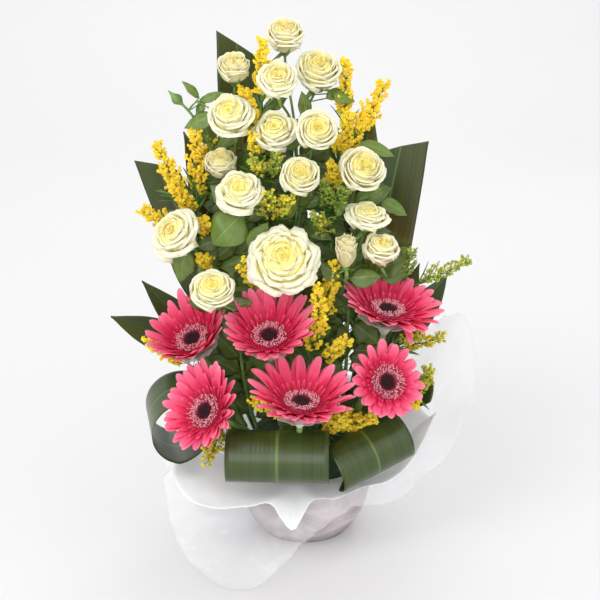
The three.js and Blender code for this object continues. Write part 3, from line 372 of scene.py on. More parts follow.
def leaf_material(name, shade, vein_shade, columns, gloss, pinnate):
    """Leaf: waxy cuticle over green tissue, so it has a satin sheen over fine veins. Veins run lengthwise
    in the broad leaves, and slant out from a pale midrib in the rose leaves."""
    m = new_material(name)
    uv = add(m, "TexCoord").outputs["UV"]
    split = add(m, "SeparateXYZ", {"Vector": uv})
    centred = add(m, "Math", {0: split.outputs["X"], 1: 0.5}, operation="SUBTRACT")
    off = add(m, "Math", {0: centred}, operation="ABSOLUTE")
    if pinnate:
        slant = add(m, "Math", {0: off, 1: 0.9}, operation="MULTIPLY")
        across = add(m, "Math", {0: split.outputs["Y"], 1: slant}, operation="SUBTRACT")
    else:
        across = split.outputs["X"]
    beat = add(m, "Math", {0: across, 1: columns * math.tau}, operation="MULTIPLY")
    ridge = add(m, "Math", {0: beat}, operation="SINE")
    tone = add(m, "Attribute", attribute_name="tone").outputs["Fac"]
    streak_map = add(m, "Mapping", {"Vector": uv, "Scale": (4, 4, 1) if pinnate else (26, 0.6, 1)})
    streak = add(m, "TexNoise", {"Vector": streak_map, "Scale": 1.0, "Detail": 5.0})
    mixed = add(m, "Math", {0: streak, 1: tone}, operation="ADD")
    dark = tuple(c * 0.6 for c in shade)
    pale = tuple(min(1, c * 1.2) for c in shade)
    body = add(m, "ValToRGB", {"Fac": mixed}, stops=((0.2, dark), (0.5, tuple(shade)), (0.78, pale)))
    rib = add(m, "ValToRGB", {"Fac": off}, stops=(
        (0.0, (0.7, 0.7, 0.7)), (0.01, (0.4, 0.4, 0.4)), (0.022, (0, 0, 0))))
    painted = add(m, "Mix", {"Factor": rib, "A": body,
                                       "B": (*vein_shade, 1)}, data_type="RGBA")
    bump = add(m, "Bump", {"Height": ridge, "Strength": 0.12, "Distance": 0.2 * MM})
    return shaded(m, {"Base Color": painted.outputs["Result"], "Roughness": gloss, "Specular IOR Level": 0.5,
                      "Normal": bump, "Subsurface Weight": 0.06, "Subsurface Scale": 0.6 * MM})


def stem_material(name, low, high):
    """Green stem: matt skin with faint bumps and paler patches."""
    m = new_material(name)
    place = add(m, "TexCoord").outputs["Object"]
    mottle = add(m, "TexNoise", {"Vector": place, "Scale": 90.0, "Detail": 4.0})
    ramp = add(m, "ValToRGB", {"Fac": mottle}, stops=((0.3, low), (0.7, high)))
    bump = add(m, "Bump", {"Height": mottle, "Strength": 0.2, "Distance": 0.3 * MM})
    return shaded(m, {"Base Color": ramp, "Roughness": 0.6, "Normal": bump})


def floret_material(settings):
    """Goldenrod floret: powdery, so it has no gloss. The tone runs from green bud to gold."""
    m = new_material("goldenrod florets")
    tone = add(m, "Attribute", attribute_name="tone").outputs["Fac"]
    place = add(m, "TexCoord").outputs["Object"]
    speck = add(m, "TexNoise", {"Vector": place, "Scale": 400.0, "Detail": 2.0})
    shift = add(m, "Math", {0: speck, 1: 0.16, 2: tone}, operation="MULTIPLY_ADD")
    ramp = add(m, "ValToRGB", {"Fac": shift}, stops=(
        (0.06, "#5f8428"), (0.35, "#9fae33"), (0.55, "#ecd42c"), (0.8, settings.floret[:]), (1.0, "#f2c822")))
    return shaded(m, {"Base Color": ramp, "Roughness": 0.8, "Subsurface Weight": 0.12,
                      "Subsurface Scale": 0.8 * MM, "Sheen Weight": 0.2})


def paper_material(settings):
    """Tissue paper: matt beaten fibre, with a faint cockle, and thin enough to glow a little. Its colour is a
    little darker in the cockle's hollows, as painted shade.
    """
    m = new_material("tissue paper")
    place = add(m, "TexCoord").outputs["Object"]
    fibre = add(m, "TexNoise", {"Vector": place, "Scale": 900.0, "Detail": 3.0})
    cockle = add(m, "TexNoise", {"Vector": place, "Scale": 45.0, "Detail": 3.0})
    height = add(m, "Math", {0: fibre, 1: 0.1, 2: cockle},
                 operation="MULTIPLY_ADD")
    bump = add(m, "Bump", {"Height": height, "Strength": 0.25, "Distance": 1.2 * MM})
    # Painted shade: the paper's colour darkens slightly where the cockle dips.
    shade = add(m, "ValToRGB", {"Fac": cockle}, stops=(
        (0.3, tuple(c * 0.94 for c in settings.paper)), (0.6, settings.paper[:])))
    return shaded(m, {"Base Color": shade, "Roughness": 0.85, "Normal": bump,
                      "Subsurface Weight": 0.4, "Subsurface Radius": (1.0, 1.0, 1.0),
                      "Subsurface Scale": 4 * MM})


def film_material(name, clear, haze):
    """Clear polypropylene film: see-through face on, whiter and glossier where it turns away."""
    m = new_material(name)
    edge = add(m, "LayerWeight", {"Blend": 0.35}).outputs["Facing"]
    place = add(m, "TexCoord").outputs["Object"]
    crease = add(m, "TexVoronoi", {"Vector": place, "Scale": 60.0}, feature="DISTANCE_TO_EDGE")
    bump = add(m, "Bump", {"Height": crease, "Strength": 0.8, "Distance": 3.0 * MM})
    alpha = add(m, "MapRange", {"Value": edge, "To Min": clear, "To Max": haze})
    return shaded(m, {"Base Color": (0.96, 0.965, 0.98, 1), "Roughness": 0.06, "IOR": 1.49, "Alpha": alpha,
                      "Specular IOR Level": 0.7, "Normal": bump})


def bowl_material(settings):
    """Painted pulp bowl: matt, with a brushed, mottled pinkish grey wash that leaves paler patches."""
    m = new_material("washed pulp")
    place = add(m, "TexCoord").outputs["Object"]
    wash_map = add(m, "Mapping", {"Vector": place, "Rotation": (0, 0.5, 0), "Scale": (1, 1, 1.8)})
    wash = add(m, "TexNoise", {"Vector": wash_map, "Scale": 26.0, "Detail": 8.0,
                                         "Roughness": 0.62, "Distortion": 0.8})
    ramp = add(m, "ValToRGB", {"Fac": wash}, stops=(
        (0.3, "#9b8e92"), (0.48, settings.bowl[:]), (0.62, "#c5bcbf"), (0.75, "#dad4d6")))
    grit = add(m, "TexNoise", {"Vector": place, "Scale": 500.0, "Detail": 4.0})
    bump = add(m, "Bump", {"Height": grit, "Strength": 0.3, "Distance": 0.3 * MM})
    return shaded(m, {"Base Color": ramp, "Roughness": 0.7, "Normal": bump})


def foam_material():
    """Soaked floral foam: dull dark green, pitted by open cells about a millimetre across. Its colour darkens
    into each pit as painted shade.
    """
    m = new_material("soaked floral foam")
    place = add(m, "TexCoord").outputs["Object"]
    cell = add(m, "TexVoronoi", {"Vector": place, "Scale": 700.0})
    # Painted shade: the colour darkens towards each cell's middle, where the bump makes a pit.
    ramp = add(m, "ValToRGB", {"Fac": cell}, stops=((0.0, "#1a2b19"), (0.7, "#375033")))
    bump = add(m, "Bump", {"Height": cell, "Strength": 0.5, "Distance": 0.8 * MM})
    return shaded(m, {"Base Color": ramp, "Roughness": 0.95, "Normal": bump})


def stage_material():
    """Studio paper roll: matt white with no grain that the camera could see."""
    m = new_material("studio backdrop")
    place = add(m, "TexCoord").outputs["Object"]
    tint = add(m, "TexNoise", {"Vector": place, "Scale": 1.5})
    ramp = add(m, "ValToRGB", {"Fac": tint}, stops=((0.3, "#dcdcdd"), (0.7, "#dedede")))
    return shaded(m, {"Base Color": ramp, "Roughness": 0.9})


# ---------------------------------------------------------------- shaping

def fresh():
    """An empty bmesh that keeps a UV map and a tone at each point."""
    bm = bmesh.new()
    bm.loops.layers.uv.new("UVMap")
    bm.verts.layers.float.new("tone")
    return bm


def grow(bm, columns, rows, place, finish=0, tone=0.0, thickness=None):
    """A grid whose points go where place(u, v) says, with u from -1 to 1 and v from 0 to 1."""
    verts = bmesh.ops.create_grid(bm, x_segments=columns, y_segments=rows, size=1, calc_uvs=True)["verts"]
    layer = bm.verts.layers.float["tone"]
    for vert in verts:
        u, v = vert.co.x, (vert.co.y + 1) / 2
        vert[layer] = tone(u, v) if callable(tone) else tone
        vert.co = place(u, v)
    faces = list({face for vert in verts for face in vert.link_faces})
    for face in faces:
        face.material_index = finish
        face.smooth = True
    if thickness:
        bmesh.ops.solidify(bm, geom=faces, thickness=thickness)
    return verts


def rod(bm, path, radius, sides=8, steps=12, finish=0, tone=0.0):
    """A closed round rod along path(t). Its radius may follow t."""
    spots = [path(i / steps) for i in range(steps + 1)]
    side = place_facing(spots[0], spots[1] - spots[0]).col[0].xyz
    line = []
    for i, spot in enumerate(spots):
        tangent = (spots[min(i + 1, steps)] - spots[max(i - 1, 0)]).normalized()
        side = (side - tangent * side.dot(tangent)).normalized()
        line.append((spot, side, tangent.cross(side)))
    rows = steps + 2

    def place(u, v):
        row = round(v * rows)
        i = min(max(row - 1, 0), steps)
        spot, x, y = line[i]
        reach = 0 if row in (0, rows) else (radius(i / steps) if callable(radius) else radius)
        return spot + (x * math.cos(math.pi * u) + y * math.sin(math.pi * u)) * reach

    verts = grow(bm, sides, rows, place, finish, tone)
    bmesh.ops.remove_doubles(bm, verts=verts, dist=WELD)


def make_piece(bm, name, finishes, nodes=(), closed=True):
    """Turns millimetres into metres and leaves the piece in the scene, riding on the arrangement."""
    if closed:
        bmesh.ops.recalc_face_normals(bm, faces=bm.faces)
    bmesh.ops.scale(bm, vec=(MM, MM, MM), verts=bm.verts)
    mesh = bpy.data.meshes.new(name)
    bm.to_mesh(mesh)
    bm.free()
    for finish in finishes:
        mesh.materials.append(finish)
    piece = bpy.data.objects.new(name, mesh)
    bpy.context.scene.collection.objects.link(piece)
    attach(piece, "root")
    if nodes:
        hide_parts(*nodes)
    return piece


def place_facing(at, facing):
    """A place with its z axis along facing and its y axis as nearly upwards as that allows."""
    z = Vector(facing).normalized()
    hint = Vector((0, 1, 0)) if abs(z.z) > 0.98 else UP
    x = hint.cross(z).normalized()
    place = Matrix((x, z.cross(x), z)).transposed().to_4x4()
    place.translation = at
    return place


def spoke(place, angle):
    """The way out from a place's z axis at an angle about it."""
    return place.col[0].xyz * math.cos(angle) + place.col[1].xyz * math.sin(angle)


def compass(angle):
    """The ways out and round at an angle about the z axis."""
    out = Vector((math.cos(angle), math.sin(angle), 0))
    return out, Vector((-out.y, out.x, 0))


def bezier(*points):
    """A Bezier curve of any degree, as a function of t."""
    degree = len(points) - 1
    shares = [math.comb(degree, i) for i in range(degree + 1)]

    def path(t):
        weighed = (p * (s * t ** i * (1 - t) ** (degree - i)) for i, (p, s) in enumerate(zip(points, shares)))
        return sum(weighed, Vector((0, 0, 0)))
    return path


def stem_path(socket, end, arrival, bend):
    """A stem leaves its socket away from the fan's centre and comes in along its end's own direction."""
    reach = (socket - end).length
    leaving = (socket - FAN_CENTRE).normalized()
    return bezier(socket, socket + leaving * reach * 0.4 + bend, end - arrival * reach * 0.28 + bend, end)


def stem_along(tree, socket, end, arrival):
    """The path of a stem from its socket, bent to lie along its solid."""
    return follow(tree, socket, end, lambda bend: stem_path(socket, end, arrival, bend))


def node_tree(name):
    """The surface of a CAD node, in millimetres, for finding the nearest point on it."""
    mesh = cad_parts[name].data
    spots = [v.co / MM for v in mesh.vertices]
    return BVHTree.FromPolygons(spots, [tuple(p.vertices) for p in mesh.polygons])


BENDS = [(0.0, 0.0)] + [(reach * math.cos(i * math.tau / 8), reach * math.sin(i * math.tau / 8))
                        for reach in (5, 10, 16, 24, 34) for i in range(8)]


def follow(tree, start, end, make_path):
    """The one of a stem's possible sideways bends that lies nearest to the solid."""
    chord = place_facing(start, end - start)
    best = None
    for a, b in BENDS:
        path = make_path(chord.col[0].xyz * a + chord.col[1].xyz * b)
        off = max(tree.find_nearest(path(t))[3] for t in (0.25, 0.4, 0.5, 0.6, 0.75))
        if best is None or off < best[0] - 0.05:
            best = (off, path)
    return best[1]


def nearest_on(paths, point):
    """Where a branch leaves its stem: the nearest spot that is clear of the foam and not much above it."""
    spots = [path(i / 12) for path in paths for i in range(2, 13)]
    spots = [spot for spot in spots if spot.z >= FOAM_TOP + 6]
    return min(spots, key=lambda spot: (spot - point).length + max(0, spot.z - point.z + 6) * 1.5)


def cubic(a, b, c, d, f):
    """The value a share f of the way from b to c, on the cubic that also heeds their neighbours a and d."""
    return b + 0.5 * f * (c - a + f * (2 * a - 5 * b + 4 * c - d + f * (3 * (b - c) + d - a)))


def smooth_between(places, t):
    """A value along a list of evenly spaced values, eased by a cubic through its neighbours."""
    n = len(places) - 1
    at = min(max(t, 0), 1) * n
    i = min(int(at), n - 1)
    return cubic(*(places[min(max(i + k, 0), n)] for k in (-1, 0, 1, 2)), at - i)


# ---------------------------------------------------------------- gerberas

ROOT_R = 19      # petals rise from this radius outwards
RISE_POWER = 0.5  # how soon the petals rise as steeply as the back ones

# Rows of petals from the outermost: share of the count, reach as a share of the radius, width share,
# height over the disc, extra rise.
RAY_ROWS = (
    (1.0, 1.0, 1.0, -2.2, 0.0), (0.95, 0.94, 0.92, -1.2, 0.06), (0.9, 0.7, 0.6, 0.1, 0.12),
    (1.5, 0.52, 0.3, 0.8, 0.2),
)
STAMENS = 300
CENTRE_RODS = 110   # unopened flowers packed on the eye
EYE_R = 8.2
BRACTS = 22
HANGING_RAY = {"gerbera_3": (-1.45, 38)}   # angle and length of the one petal that has bent down


def front_to_back(pair, angle, power=1):
    """A value that passes from the front petals' to the back petals' round the bloom. A power under 1 makes
    the side petals more like the back ones."""
    return pair[0] + (pair[1] - pair[0]) * max(0, 0.5 + 0.5 * math.sin(angle)) ** power


def ray_petal(bm, angle, root, reach, half, level, rise, draw, depth=0.0):
    """One strap petal: a shallow channel that widens from its root and ends in a blunt rounded tip."""
    sway = draw.uniform(-0.5, 0.5) * half * 0.5
    curl = draw.uniform(-0.03, 0.08) * (reach - root)
    twist = draw.uniform(-0.22, 0.22)
    shade = draw.uniform(-0.07, 0.07) - depth
    out, across = compass(angle)

    def place(u, v):
        w = math.sin(v * math.pi / 2)
        tip = max(0.0, (w - 0.64) / 0.36)
        swell = 0.55 + 0.45 * math.sin(min(1, w / 0.55) * math.pi / 2)
        width = half * swell * (1 - 0.14 * w * w) * max(0.01, 1 - tip ** 2.4) ** 0.5
        r = root + (reach - root) * w
        past = max(0.0, r - ROOT_R)
        z = level + past * math.tan(rise) * (1 - 0.2 * past / reach) - curl * w ** 4
        z += u * u * width * 0.26 + u * twist * width * w
        return out * r + across * (u * width + sway * math.sin(w * math.pi)) + Vector((0, 0, z))

    grow(bm, 6, 11, place, 0, shade, RAY_THICKNESS)


def gerbera_head(bm, radius, lengths, rises, settings, draw):
    for share, reach, width, level, extra in RAY_ROWS:
        count = round(settings.ray_count * share)
        spin = draw.uniform(0, 1)
        for i in range(count):
            angle = (i + spin + draw.uniform(-0.17, 0.17)) / count * math.tau
            length = radius * reach * front_to_back(lengths, angle) * draw.uniform(0.93, 1.02)
            rise = front_to_back(rises, angle, RISE_POWER) + extra + draw.uniform(-0.07, 0.07)
            half = settings.ray_width / MM / 2 * width * radius / 50 * draw.uniform(0.9, 1.08)
            root, depth = (13.5, 0.3) if reach < 0.8 else (14.5, 0)
            ray_petal(bm, angle, root, length, half, level, rise, draw, depth)
    fringe = fresh()
    for _ in range(STAMENS):
        angle = draw.uniform(0, math.tau)
        inner = draw.uniform(8.6, 16.4)
        lean = draw.uniform(0.6, 2.4)
        foot = Vector((inner * math.cos(angle), inner * math.sin(angle), 2.4))
        head = foot + Vector((math.cos(angle) * lean, math.sin(angle) * lean, draw.uniform(2.6, 4.6)))
        middle = foot.lerp(head, 0.5) + Vector((0, 0, 0.6))
        rod(fringe, bezier(foot, middle, head), lambda t: 0.24 + 0.2 * t, 4, 3, 1,
            lambda u, v: 0.35 + 0.65 * v)
    for i in range(CENTRE_RODS):
        angle = i * GOLDEN_ANGLE
        r = EYE_R * math.sqrt((i + 0.5) / CENTRE_RODS)
        foot = Vector((r * math.cos(angle), r * math.sin(angle), 3.0 + 1.4 * (r / EYE_R) ** 2))
        rod(fringe, bezier(foot, foot + UP * 1.7), lambda t: 0.62 - 0.3 * t, 5, 2, 1, lambda u, v: 0.14 * v)
    joined(bm, fringe)


def spun(bm, profile, steps, finish=0, tone=0.0):
    """A closed round shape, from [radius, height] pairs that start and end on the axis. Its tone may follow
    the place."""
    layer = bm.verts.layers.float["tone"]
    verts = [bm.verts.new((r, 0, z)) for r, z in profile]
    edges = [bm.edges.new(pair) for pair in zip(verts, verts[1:])]
    bmesh.ops.spin(bm, geom=verts + edges, axis=(0, 0, 1), cent=(0, 0, 0), angle=math.tau, steps=steps,
                   use_merge=True)
    bmesh.ops.remove_doubles(bm, verts=bm.verts, dist=WELD)
    for face in bm.faces:
        face.material_index = finish
        face.smooth = True
    for vert in bm.verts:
        vert[layer] = tone(vert.co) if callable(tone) else tone


def joined(bm, other, place=Matrix.Identity(4)):
    """Adds another bmesh, moved to its place, and frees it."""
    bmesh.ops.transform(other, matrix=place, verts=other.verts)
    mesh = bpy.data.meshes.new("part")
    other.to_mesh(mesh)
    other.free()
    bm.from_mesh(mesh)
    bpy.data.meshes.remove(mesh)


class DressGerberas(bpy.types.Operator):
    """Gives each gerbera its rows of petals, its stamens and its dark eye"""
    bl_idname = "arrangement.gerberas"
    bl_label = "Gerbera blooms"

    def execute(self, context):
        settings = context.scene.gerbera_settings
        petal = gerbera_ray_material(settings)
        fringe = gerbera_fringe_material()
        for number, (name, (eye, radius, facing, _cup, lengths, rises)) in enumerate(GERBERAS.items()):
            draw = random.Random(40 + number)
            bm = fresh()
            head = fresh()
            spun(head, [(0, -4), (11, -4), (16.5, 1.6), (9.5, 3.2), (0, 3.2)], 32, 1,
                 lambda spot: 0.42 if spot.xy.length > 9 else 0.06)
            gerbera_head(head, radius, lengths, rises, settings, draw)
            if name in HANGING_RAY:
                angle, length = HANGING_RAY[name]
                ray_petal(head, angle, 15, length, 4.6, 1.5, -0.8, draw)
            joined(bm, head, place_facing(eye, facing))
            make_piece(bm, f"{name}_petals", [petal, fringe], [f"{name}_bloom"])
        return {"FINISHED"}


class DressGerberaStems(bpy.types.Operator):
    """Makes each gerbera's stem and the green bracts under its bloom"""
    bl_idname = "arrangement.gerbera_stems"
    bl_label = "Gerbera stems"

    def execute(self, context):
        finish = stem_material("gerbera stem", "#4f6b30", "#86a35a")
        for number, (name, (eye, _radius, facing, *_)) in enumerate(GERBERAS.items()):
            draw = random.Random(60 + number)
            facing = Vector(facing).normalized()
            eye = Vector(eye)
            foot = eye - facing * GERBERA_NECK
            socket = Vector((eye.x * 0.4, eye.y * 0.3 - 4, SOCKET_Z))
            path = stem_along(node_tree(f"{name}_stem"), socket, foot, facing)
            bm = fresh()
            rod(bm, path, lambda t: GERBERA_STEM_R * (1 + 0.05 * math.sin(t * 21)), 12, 24)
            rod(bm, bezier(foot - facing * 1.5, eye - facing * 4.6),
                lambda t: GERBERA_STEM_R + 6.1 * max(0, (t - 0.45) / 0.55) ** 1.6, 14, 12)
            place = place_facing(eye, facing)
            for i in range(BRACTS):
                out, side = compass(i * GOLDEN_ANGLE)
                low, high = (5.2, -13), (9.6 + draw.uniform(0, 1.2), -4.4)

                def bract(u, v):
                    r = low[0] + (high[0] - low[0]) * v + 0.5
                    z = low[1] + (high[1] - low[1]) * v
                    return place @ (out * r + side * u * 1.3 * (1 - v ** 2) + UP * z)

                grow(bm, 2, 4, bract, thickness=BRACT_THICKNESS)
            make_piece(bm, f"{name}_stalk", [finish], [f"{name}_stem"])
        return {"FINISHED"}


class DressGerberaCups(bpy.types.Operator):
    """Makes the clear crinkled cups that hold four of the gerberas open"""
    bl_idname = "arrangement.gerbera_cups"
    bl_label = "Clear cups"

    def execute(self, context):
        finish = film_material("clear crinkled cup", 0.16, 0.75)
        for number, (name, (eye, radius, facing, has_cup, *_)) in enumerate(GERBERAS.items()):
            if not has_cup:
                continue
            place = place_facing(eye, facing)
            top = radius * 0.56

            def wall(u, v):
                r = smooth_between([3.7, 7.5, 13, top * 0.8, top], v)
                z = smooth_between([-25, -16, -10, -6, -3.9], v)
                angle = math.pi * u
                pleat = math.sin(angle * 13 + number) + 0.5 * math.sin(angle * 29 + 2 * number)
                r += pleat * v * 0.9
                return place @ Vector((r * math.cos(angle), r * math.sin(angle), z))

            bm = fresh()
            verts = grow(bm, 96, 10, wall)
            bmesh.ops.remove_doubles(bm, verts=verts, dist=WELD)
            bmesh.ops.solidify(bm, geom=list(bm.faces), thickness=CUP_THICKNESS)
            make_piece(bm, f"{name}_clear_cup", [finish], [f"{name}_cup"])
        return {"FINISHED"}


# ---------------------------------------------------------------- roses

# Rings of petals from the outermost: radius and height as shares of the bloom's, lip, tuck, petals.
# A lip is about as wide as the space to the next ring, so it covers that ring's foot.
ROSE_RINGS = (
    (0.4, 0.66, 0.095, 0.0, 5), (0.385, 0.79, 0.085, 0.02, 5), (0.33, 0.9, 0.08, 0.05, 5),
    (0.262, 0.97, 0.066, 0.1, 4), (0.19, 1.0, 0.05, 0.16, 4), (0.12, 1.0, 0.03, 0.22, 3),
    (0.06, 0.97, 0.012, 0.28, 3),
)
FULL_RINGS = (
    (0.405, 0.4, 0.1, 0.0, 8), (0.395, 0.55, 0.095, 0.0, 8), (0.36, 0.69, 0.09, 0.0, 7),
    (0.3, 0.82, 0.08, 0.04, 7), (0.235, 0.92, 0.066, 0.08, 6), (0.17, 0.98, 0.045, 0.14, 5),
    (0.11, 1.0, 0.025, 0.2, 4), (0.055, 0.97, 0.01, 0.25, 3),
)
# The middle body that the rings stand round, as shares of the width and the depth.
ROSE_CORE = (
    (0, 0.03), (0.16, 0.08), (0.3, 0.25), (0.355, 0.45), (0.345, 0.6), (0.31, 0.72), (0.24, 0.82),
    (0.17, 0.87), (0.1, 0.88), (0, 0.87),
)
FULL_CORE = (
    (0, 0.03), (0.2, 0.08), (0.35, 0.22), (0.36, 0.34), (0.33, 0.5), (0.285, 0.65), (0.235, 0.76),
    (0.17, 0.84), (0.1, 0.88), (0, 0.86),
)
OUTER_RING = 0.405   # the widest ring's share of a bloom's width
GOLDEN_HEARTED = ("rose_03", "rose_05", "rose_07", "rose_15", "rose_16")
# Each form's flare of the lips, ruffle of the edges, points on the edges, and looseness.
ROSE_FORMS = {
    "cup": (0.8, 0.9, 0.3, 0.5), "tight": (0.5, 0.9, 0.8, 0.5), "loose": (1.2, 1.7, 0.9, 1.4),
    "rosette": (0.85, 1.1, 0.2, 0.5), "open": (1.35, 1.8, 0.5, 1.2), "full": (1.0, 2.0, 0.2, 0.9),
    "bud": (0.5, 0.9, 1.6, 1.0),
}


def rose_petal(bm, width, depth, ring, angle, spread, form, lift, thickness, draw):
    """One rose petal: it swells out from the foot, stands up, and rolls over at a ruffled rim."""
    share, height, lip, tuck = ring
    flare, ruffle, point, loose = form
    phase = draw.uniform(0, math.tau)
    beat = draw.uniform(2.6, 4.6)
    tall = draw.uniform(1 - 0.06 * loose, 1.02)
    lean = draw.uniform(-0.025, 0.035) * loose
    kink = draw.uniform(-0.4, 0.4)
    roll = flare * draw.uniform(0.75, 1.15)

    def place(u, v):
        body = 0.2 + 0.8 * math.sin(min(1, v / 0.52) * math.pi / 2)
        curl = max(0, (v - 0.6) / 0.4) ** 1.7
        rim = v ** 3
        wave = math.sin(u * beat + phase) + 0.45 * math.sin(u * beat * 2.7 + phase * 2)
        r = width * (share * body * (1 + 0.1 * u - tuck * v ** 3)
                     + lip * roll * curl * (1 - 0.7 * u ** 4) + lean * v + 0.012 * ruffle * wave * rim)
        a = angle + spread * u * (0.5 + 0.5 * min(1, v * 1.7) - 0.16 * v ** 6) + 0.02 * wave * rim
        crown = 1 - 0.42 * abs(u) ** 3.5 + point * 0.06 * (1 - abs(u - kink))
        climb = math.sin(min(1, v / 0.95) * math.pi / 2) ** 1.15
        z = lift + (depth * height * tall - lift) * climb * (1 - rim * (1 - crown))
        z += depth * (0.022 * ruffle * wave * rim - 0.05 * roll * curl * curl)
        return Vector((max(r, 0.2) * math.cos(a), max(r, 0.2) * math.sin(a), z))

    tone = share / OUTER_RING
    grow(bm, 8, 11, place, 0, lambda u, v: tone * (0.5 + 0.5 * v), thickness=thickness)


def rose_head(bm, width, depth, form_name, thickness, draw):
    form = ROSE_FORMS[form_name]
    slim = 0.8 if form_name == "bud" else 1
    rings, core = (FULL_RINGS, FULL_CORE) if form_name == "full" else (ROSE_RINGS, ROSE_CORE)
    if form_name != "bud":
        spun(bm, [(r * width, z * depth) for r, z in core], 40, 0,
             lambda spot: spot.xy.length / (OUTER_RING * width))
    for number, (share, height, lip, tuck, count) in enumerate(rings):
        spin = draw.uniform(0, math.tau)
        for i in range(count):
            angle = spin + i / count * math.tau + draw.uniform(-0.15, 0.15)
            spread = math.pi / count * 1.6
            ring = (share * slim * draw.uniform(0.95, 1.03), height, lip, tuck)
            lift = 0.5 + number * depth * 0.035
            rose_petal(bm, width, depth, ring, angle, spread, form, lift, thickness, draw)


class DressRoses(bpy.types.Operator):
    """Gives each spray rose its rings of ruffled petals"""
    bl_idname = "arrangement.roses"
    bl_label = "Rose blooms"

    def execute(self, context):
        settings = context.scene.rose_settings
        cream = rose_petal_material("cream rose petal", settings, "#f2c548")
        golden = rose_petal_material("golden-hearted rose petal", settings, "#e79c38")
        for number, (name, (at, width, facing, depth_share, form)) in enumerate(ROSES.items()):
            draw = random.Random(100 + number)
            depth = width * depth_share
            base = Vector(at) - Vector(facing).normalized() * depth / 2
            bm = fresh()
            rose_head(bm, width, depth, form, settings.petal_thickness / MM, draw)
            bmesh.ops.transform(bm, matrix=place_facing(base, facing), verts=bm.verts)
            finish = golden if name in GOLDEN_HEARTED else cream
            make_piece(bm, f"{name}_petals", [finish], [name])
        return {"FINISHED"}


def toothed_blade(bm, foot, tip, face, size, finish, tone, rng, teeth=13):
    """A gently arched rose leaf blade with toothed edges."""
    length, width = size
    side = tip.cross(face).normalized()
    out = side.cross(tip).normalized()
    curl = rng.uniform(0.6, 1.4)

    def place(u, v):
        half = width / 2 * smooth_between([0.1, 0.72, 0.97, 0.98, 0.8, 0.45, 0.02], v)
        tooth = 1 + 0.05 * ((v * teeth) % 1) * min(1, 6 * (1 - v)) * u ** 6
        arch = length * 0.3 * (v - v * v) * curl
        return (foot + tip * v * length * 0.98 + side * u * half * tooth
                + out * (arch - abs(u) ** 1.5 * half * 0.16 + 0.5 * math.sin(v * 13 + u * 2)))

    grow(bm, 8 if teeth > 9 else 6, 2 * teeth, place, finish, tone, ROSE_LEAF_THICKNESS)


def rose_leaf(bm, leaf, paths, tree, rng):
    """A toothed leaf where the solid has one, on its thin stalk."""
    at, tip, face, size = leaf
    tip, face = Vector(tip).normalized(), Vector(face)
    side = tip.cross(face).normalized()
    foot = Vector(at) - tip * 0.48 * size[0] - side.cross(tip).normalized() * 0.075 * size[0]
    start = nearest_on(paths, foot)
    stalk = follow(tree, start, foot, lambda bend: bezier(start, start.lerp(foot, 0.5) + bend, foot))
    rod(bm, stalk, 0.7, 6, 8, 1)
    toothed_blade(bm, foot, tip, face, size, 0, rng.uniform(-0.1, 0.1), rng)


def inner_leaves(bm, paths, count, rng):
    """Leaves low on the stems, which fill the middle of the arrangement behind the flowers. Their darker
    colour is painted shade for the deep middle.
    """
    for _ in range(count):
        path = paths[0] if rng.random() < 0.55 else rng.choice(paths)
        spot = path(rng.uniform(0.1, 0.95))
        if not 122 < spot.z < 430:
            continue
        sprig = fresh()
        angle = rng.uniform(0, math.tau)
        tip = Vector((math.cos(angle), 0.35 * math.sin(angle) + 0.25, rng.uniform(-0.3, 0.8))).normalized()
        face = Vector((rng.uniform(-0.5, 0.5), -1, rng.uniform(0, 0.7))).normalized()
        foot = spot + tip * rng.uniform(3, 8)
        rod(sprig, bezier(spot, foot), 0.6, 5, 3, 1)
        length = rng.uniform(26, 40) + max(0, 270 - spot.z) * 0.06
        size = (length, length * rng.uniform(0.5, 0.68))
        # A tone below nought colours these leaves darker than the other rose leaves: painted shade for the
        # middle of the arrangement.
        toothed_blade(sprig, foot, tip, face, size, 0, rng.uniform(-0.4, -0.1), rng, 7)
        joined(bm, sprig)


def calyx(bm, base, facing, width, depth, rng, finish):
    """The green cup under a rose, with five narrow sepals that hug the bloom or hang."""
    place = place_facing(base, facing)
    rod(bm, bezier(base - facing * 0.19 * width, base - facing * 0.02),
        lambda t: ROSE_TWIG_R + (0.13 * width - ROSE_TWIG_R) * math.sin(t * math.pi / 2) ** 1.4,
        12, 8, finish)
    for i in range(5):
        angle = i / 5 * math.tau + rng.uniform(-0.2, 0.2)
        hugs = rng.random() < 0.65
        hang = rng.uniform(-0.7, -0.1)
        out, side = compass(angle)
        length = width * rng.uniform(0.34, 0.46)

        def sepal(u, v):
            s = min(1, v * length / (0.9 * depth))
            if hugs:
                r = width * OUTER_RING * (0.2 + 0.8 * math.sin(min(1, s / 0.52) * math.pi / 2)) + 1.0
                z = 0.68 * depth * math.sin(s / 0.95 * math.pi / 2) ** 1.15 - 0.4
            else:
                r = 0.11 * width + length * (v * (0.75 - 0.35 * hang) - 0.2 * v * v)
                z = length * (hang * v - 0.3 * hang * v * v) - 0.06 * width
            return place @ (out * r + side * u * width * 0.06 * (1 - v) ** 0.7 + Vector((0, 0, z)))

        grow(bm, 2, 8, sepal, finish, 0.1, SEPAL_THICKNESS)


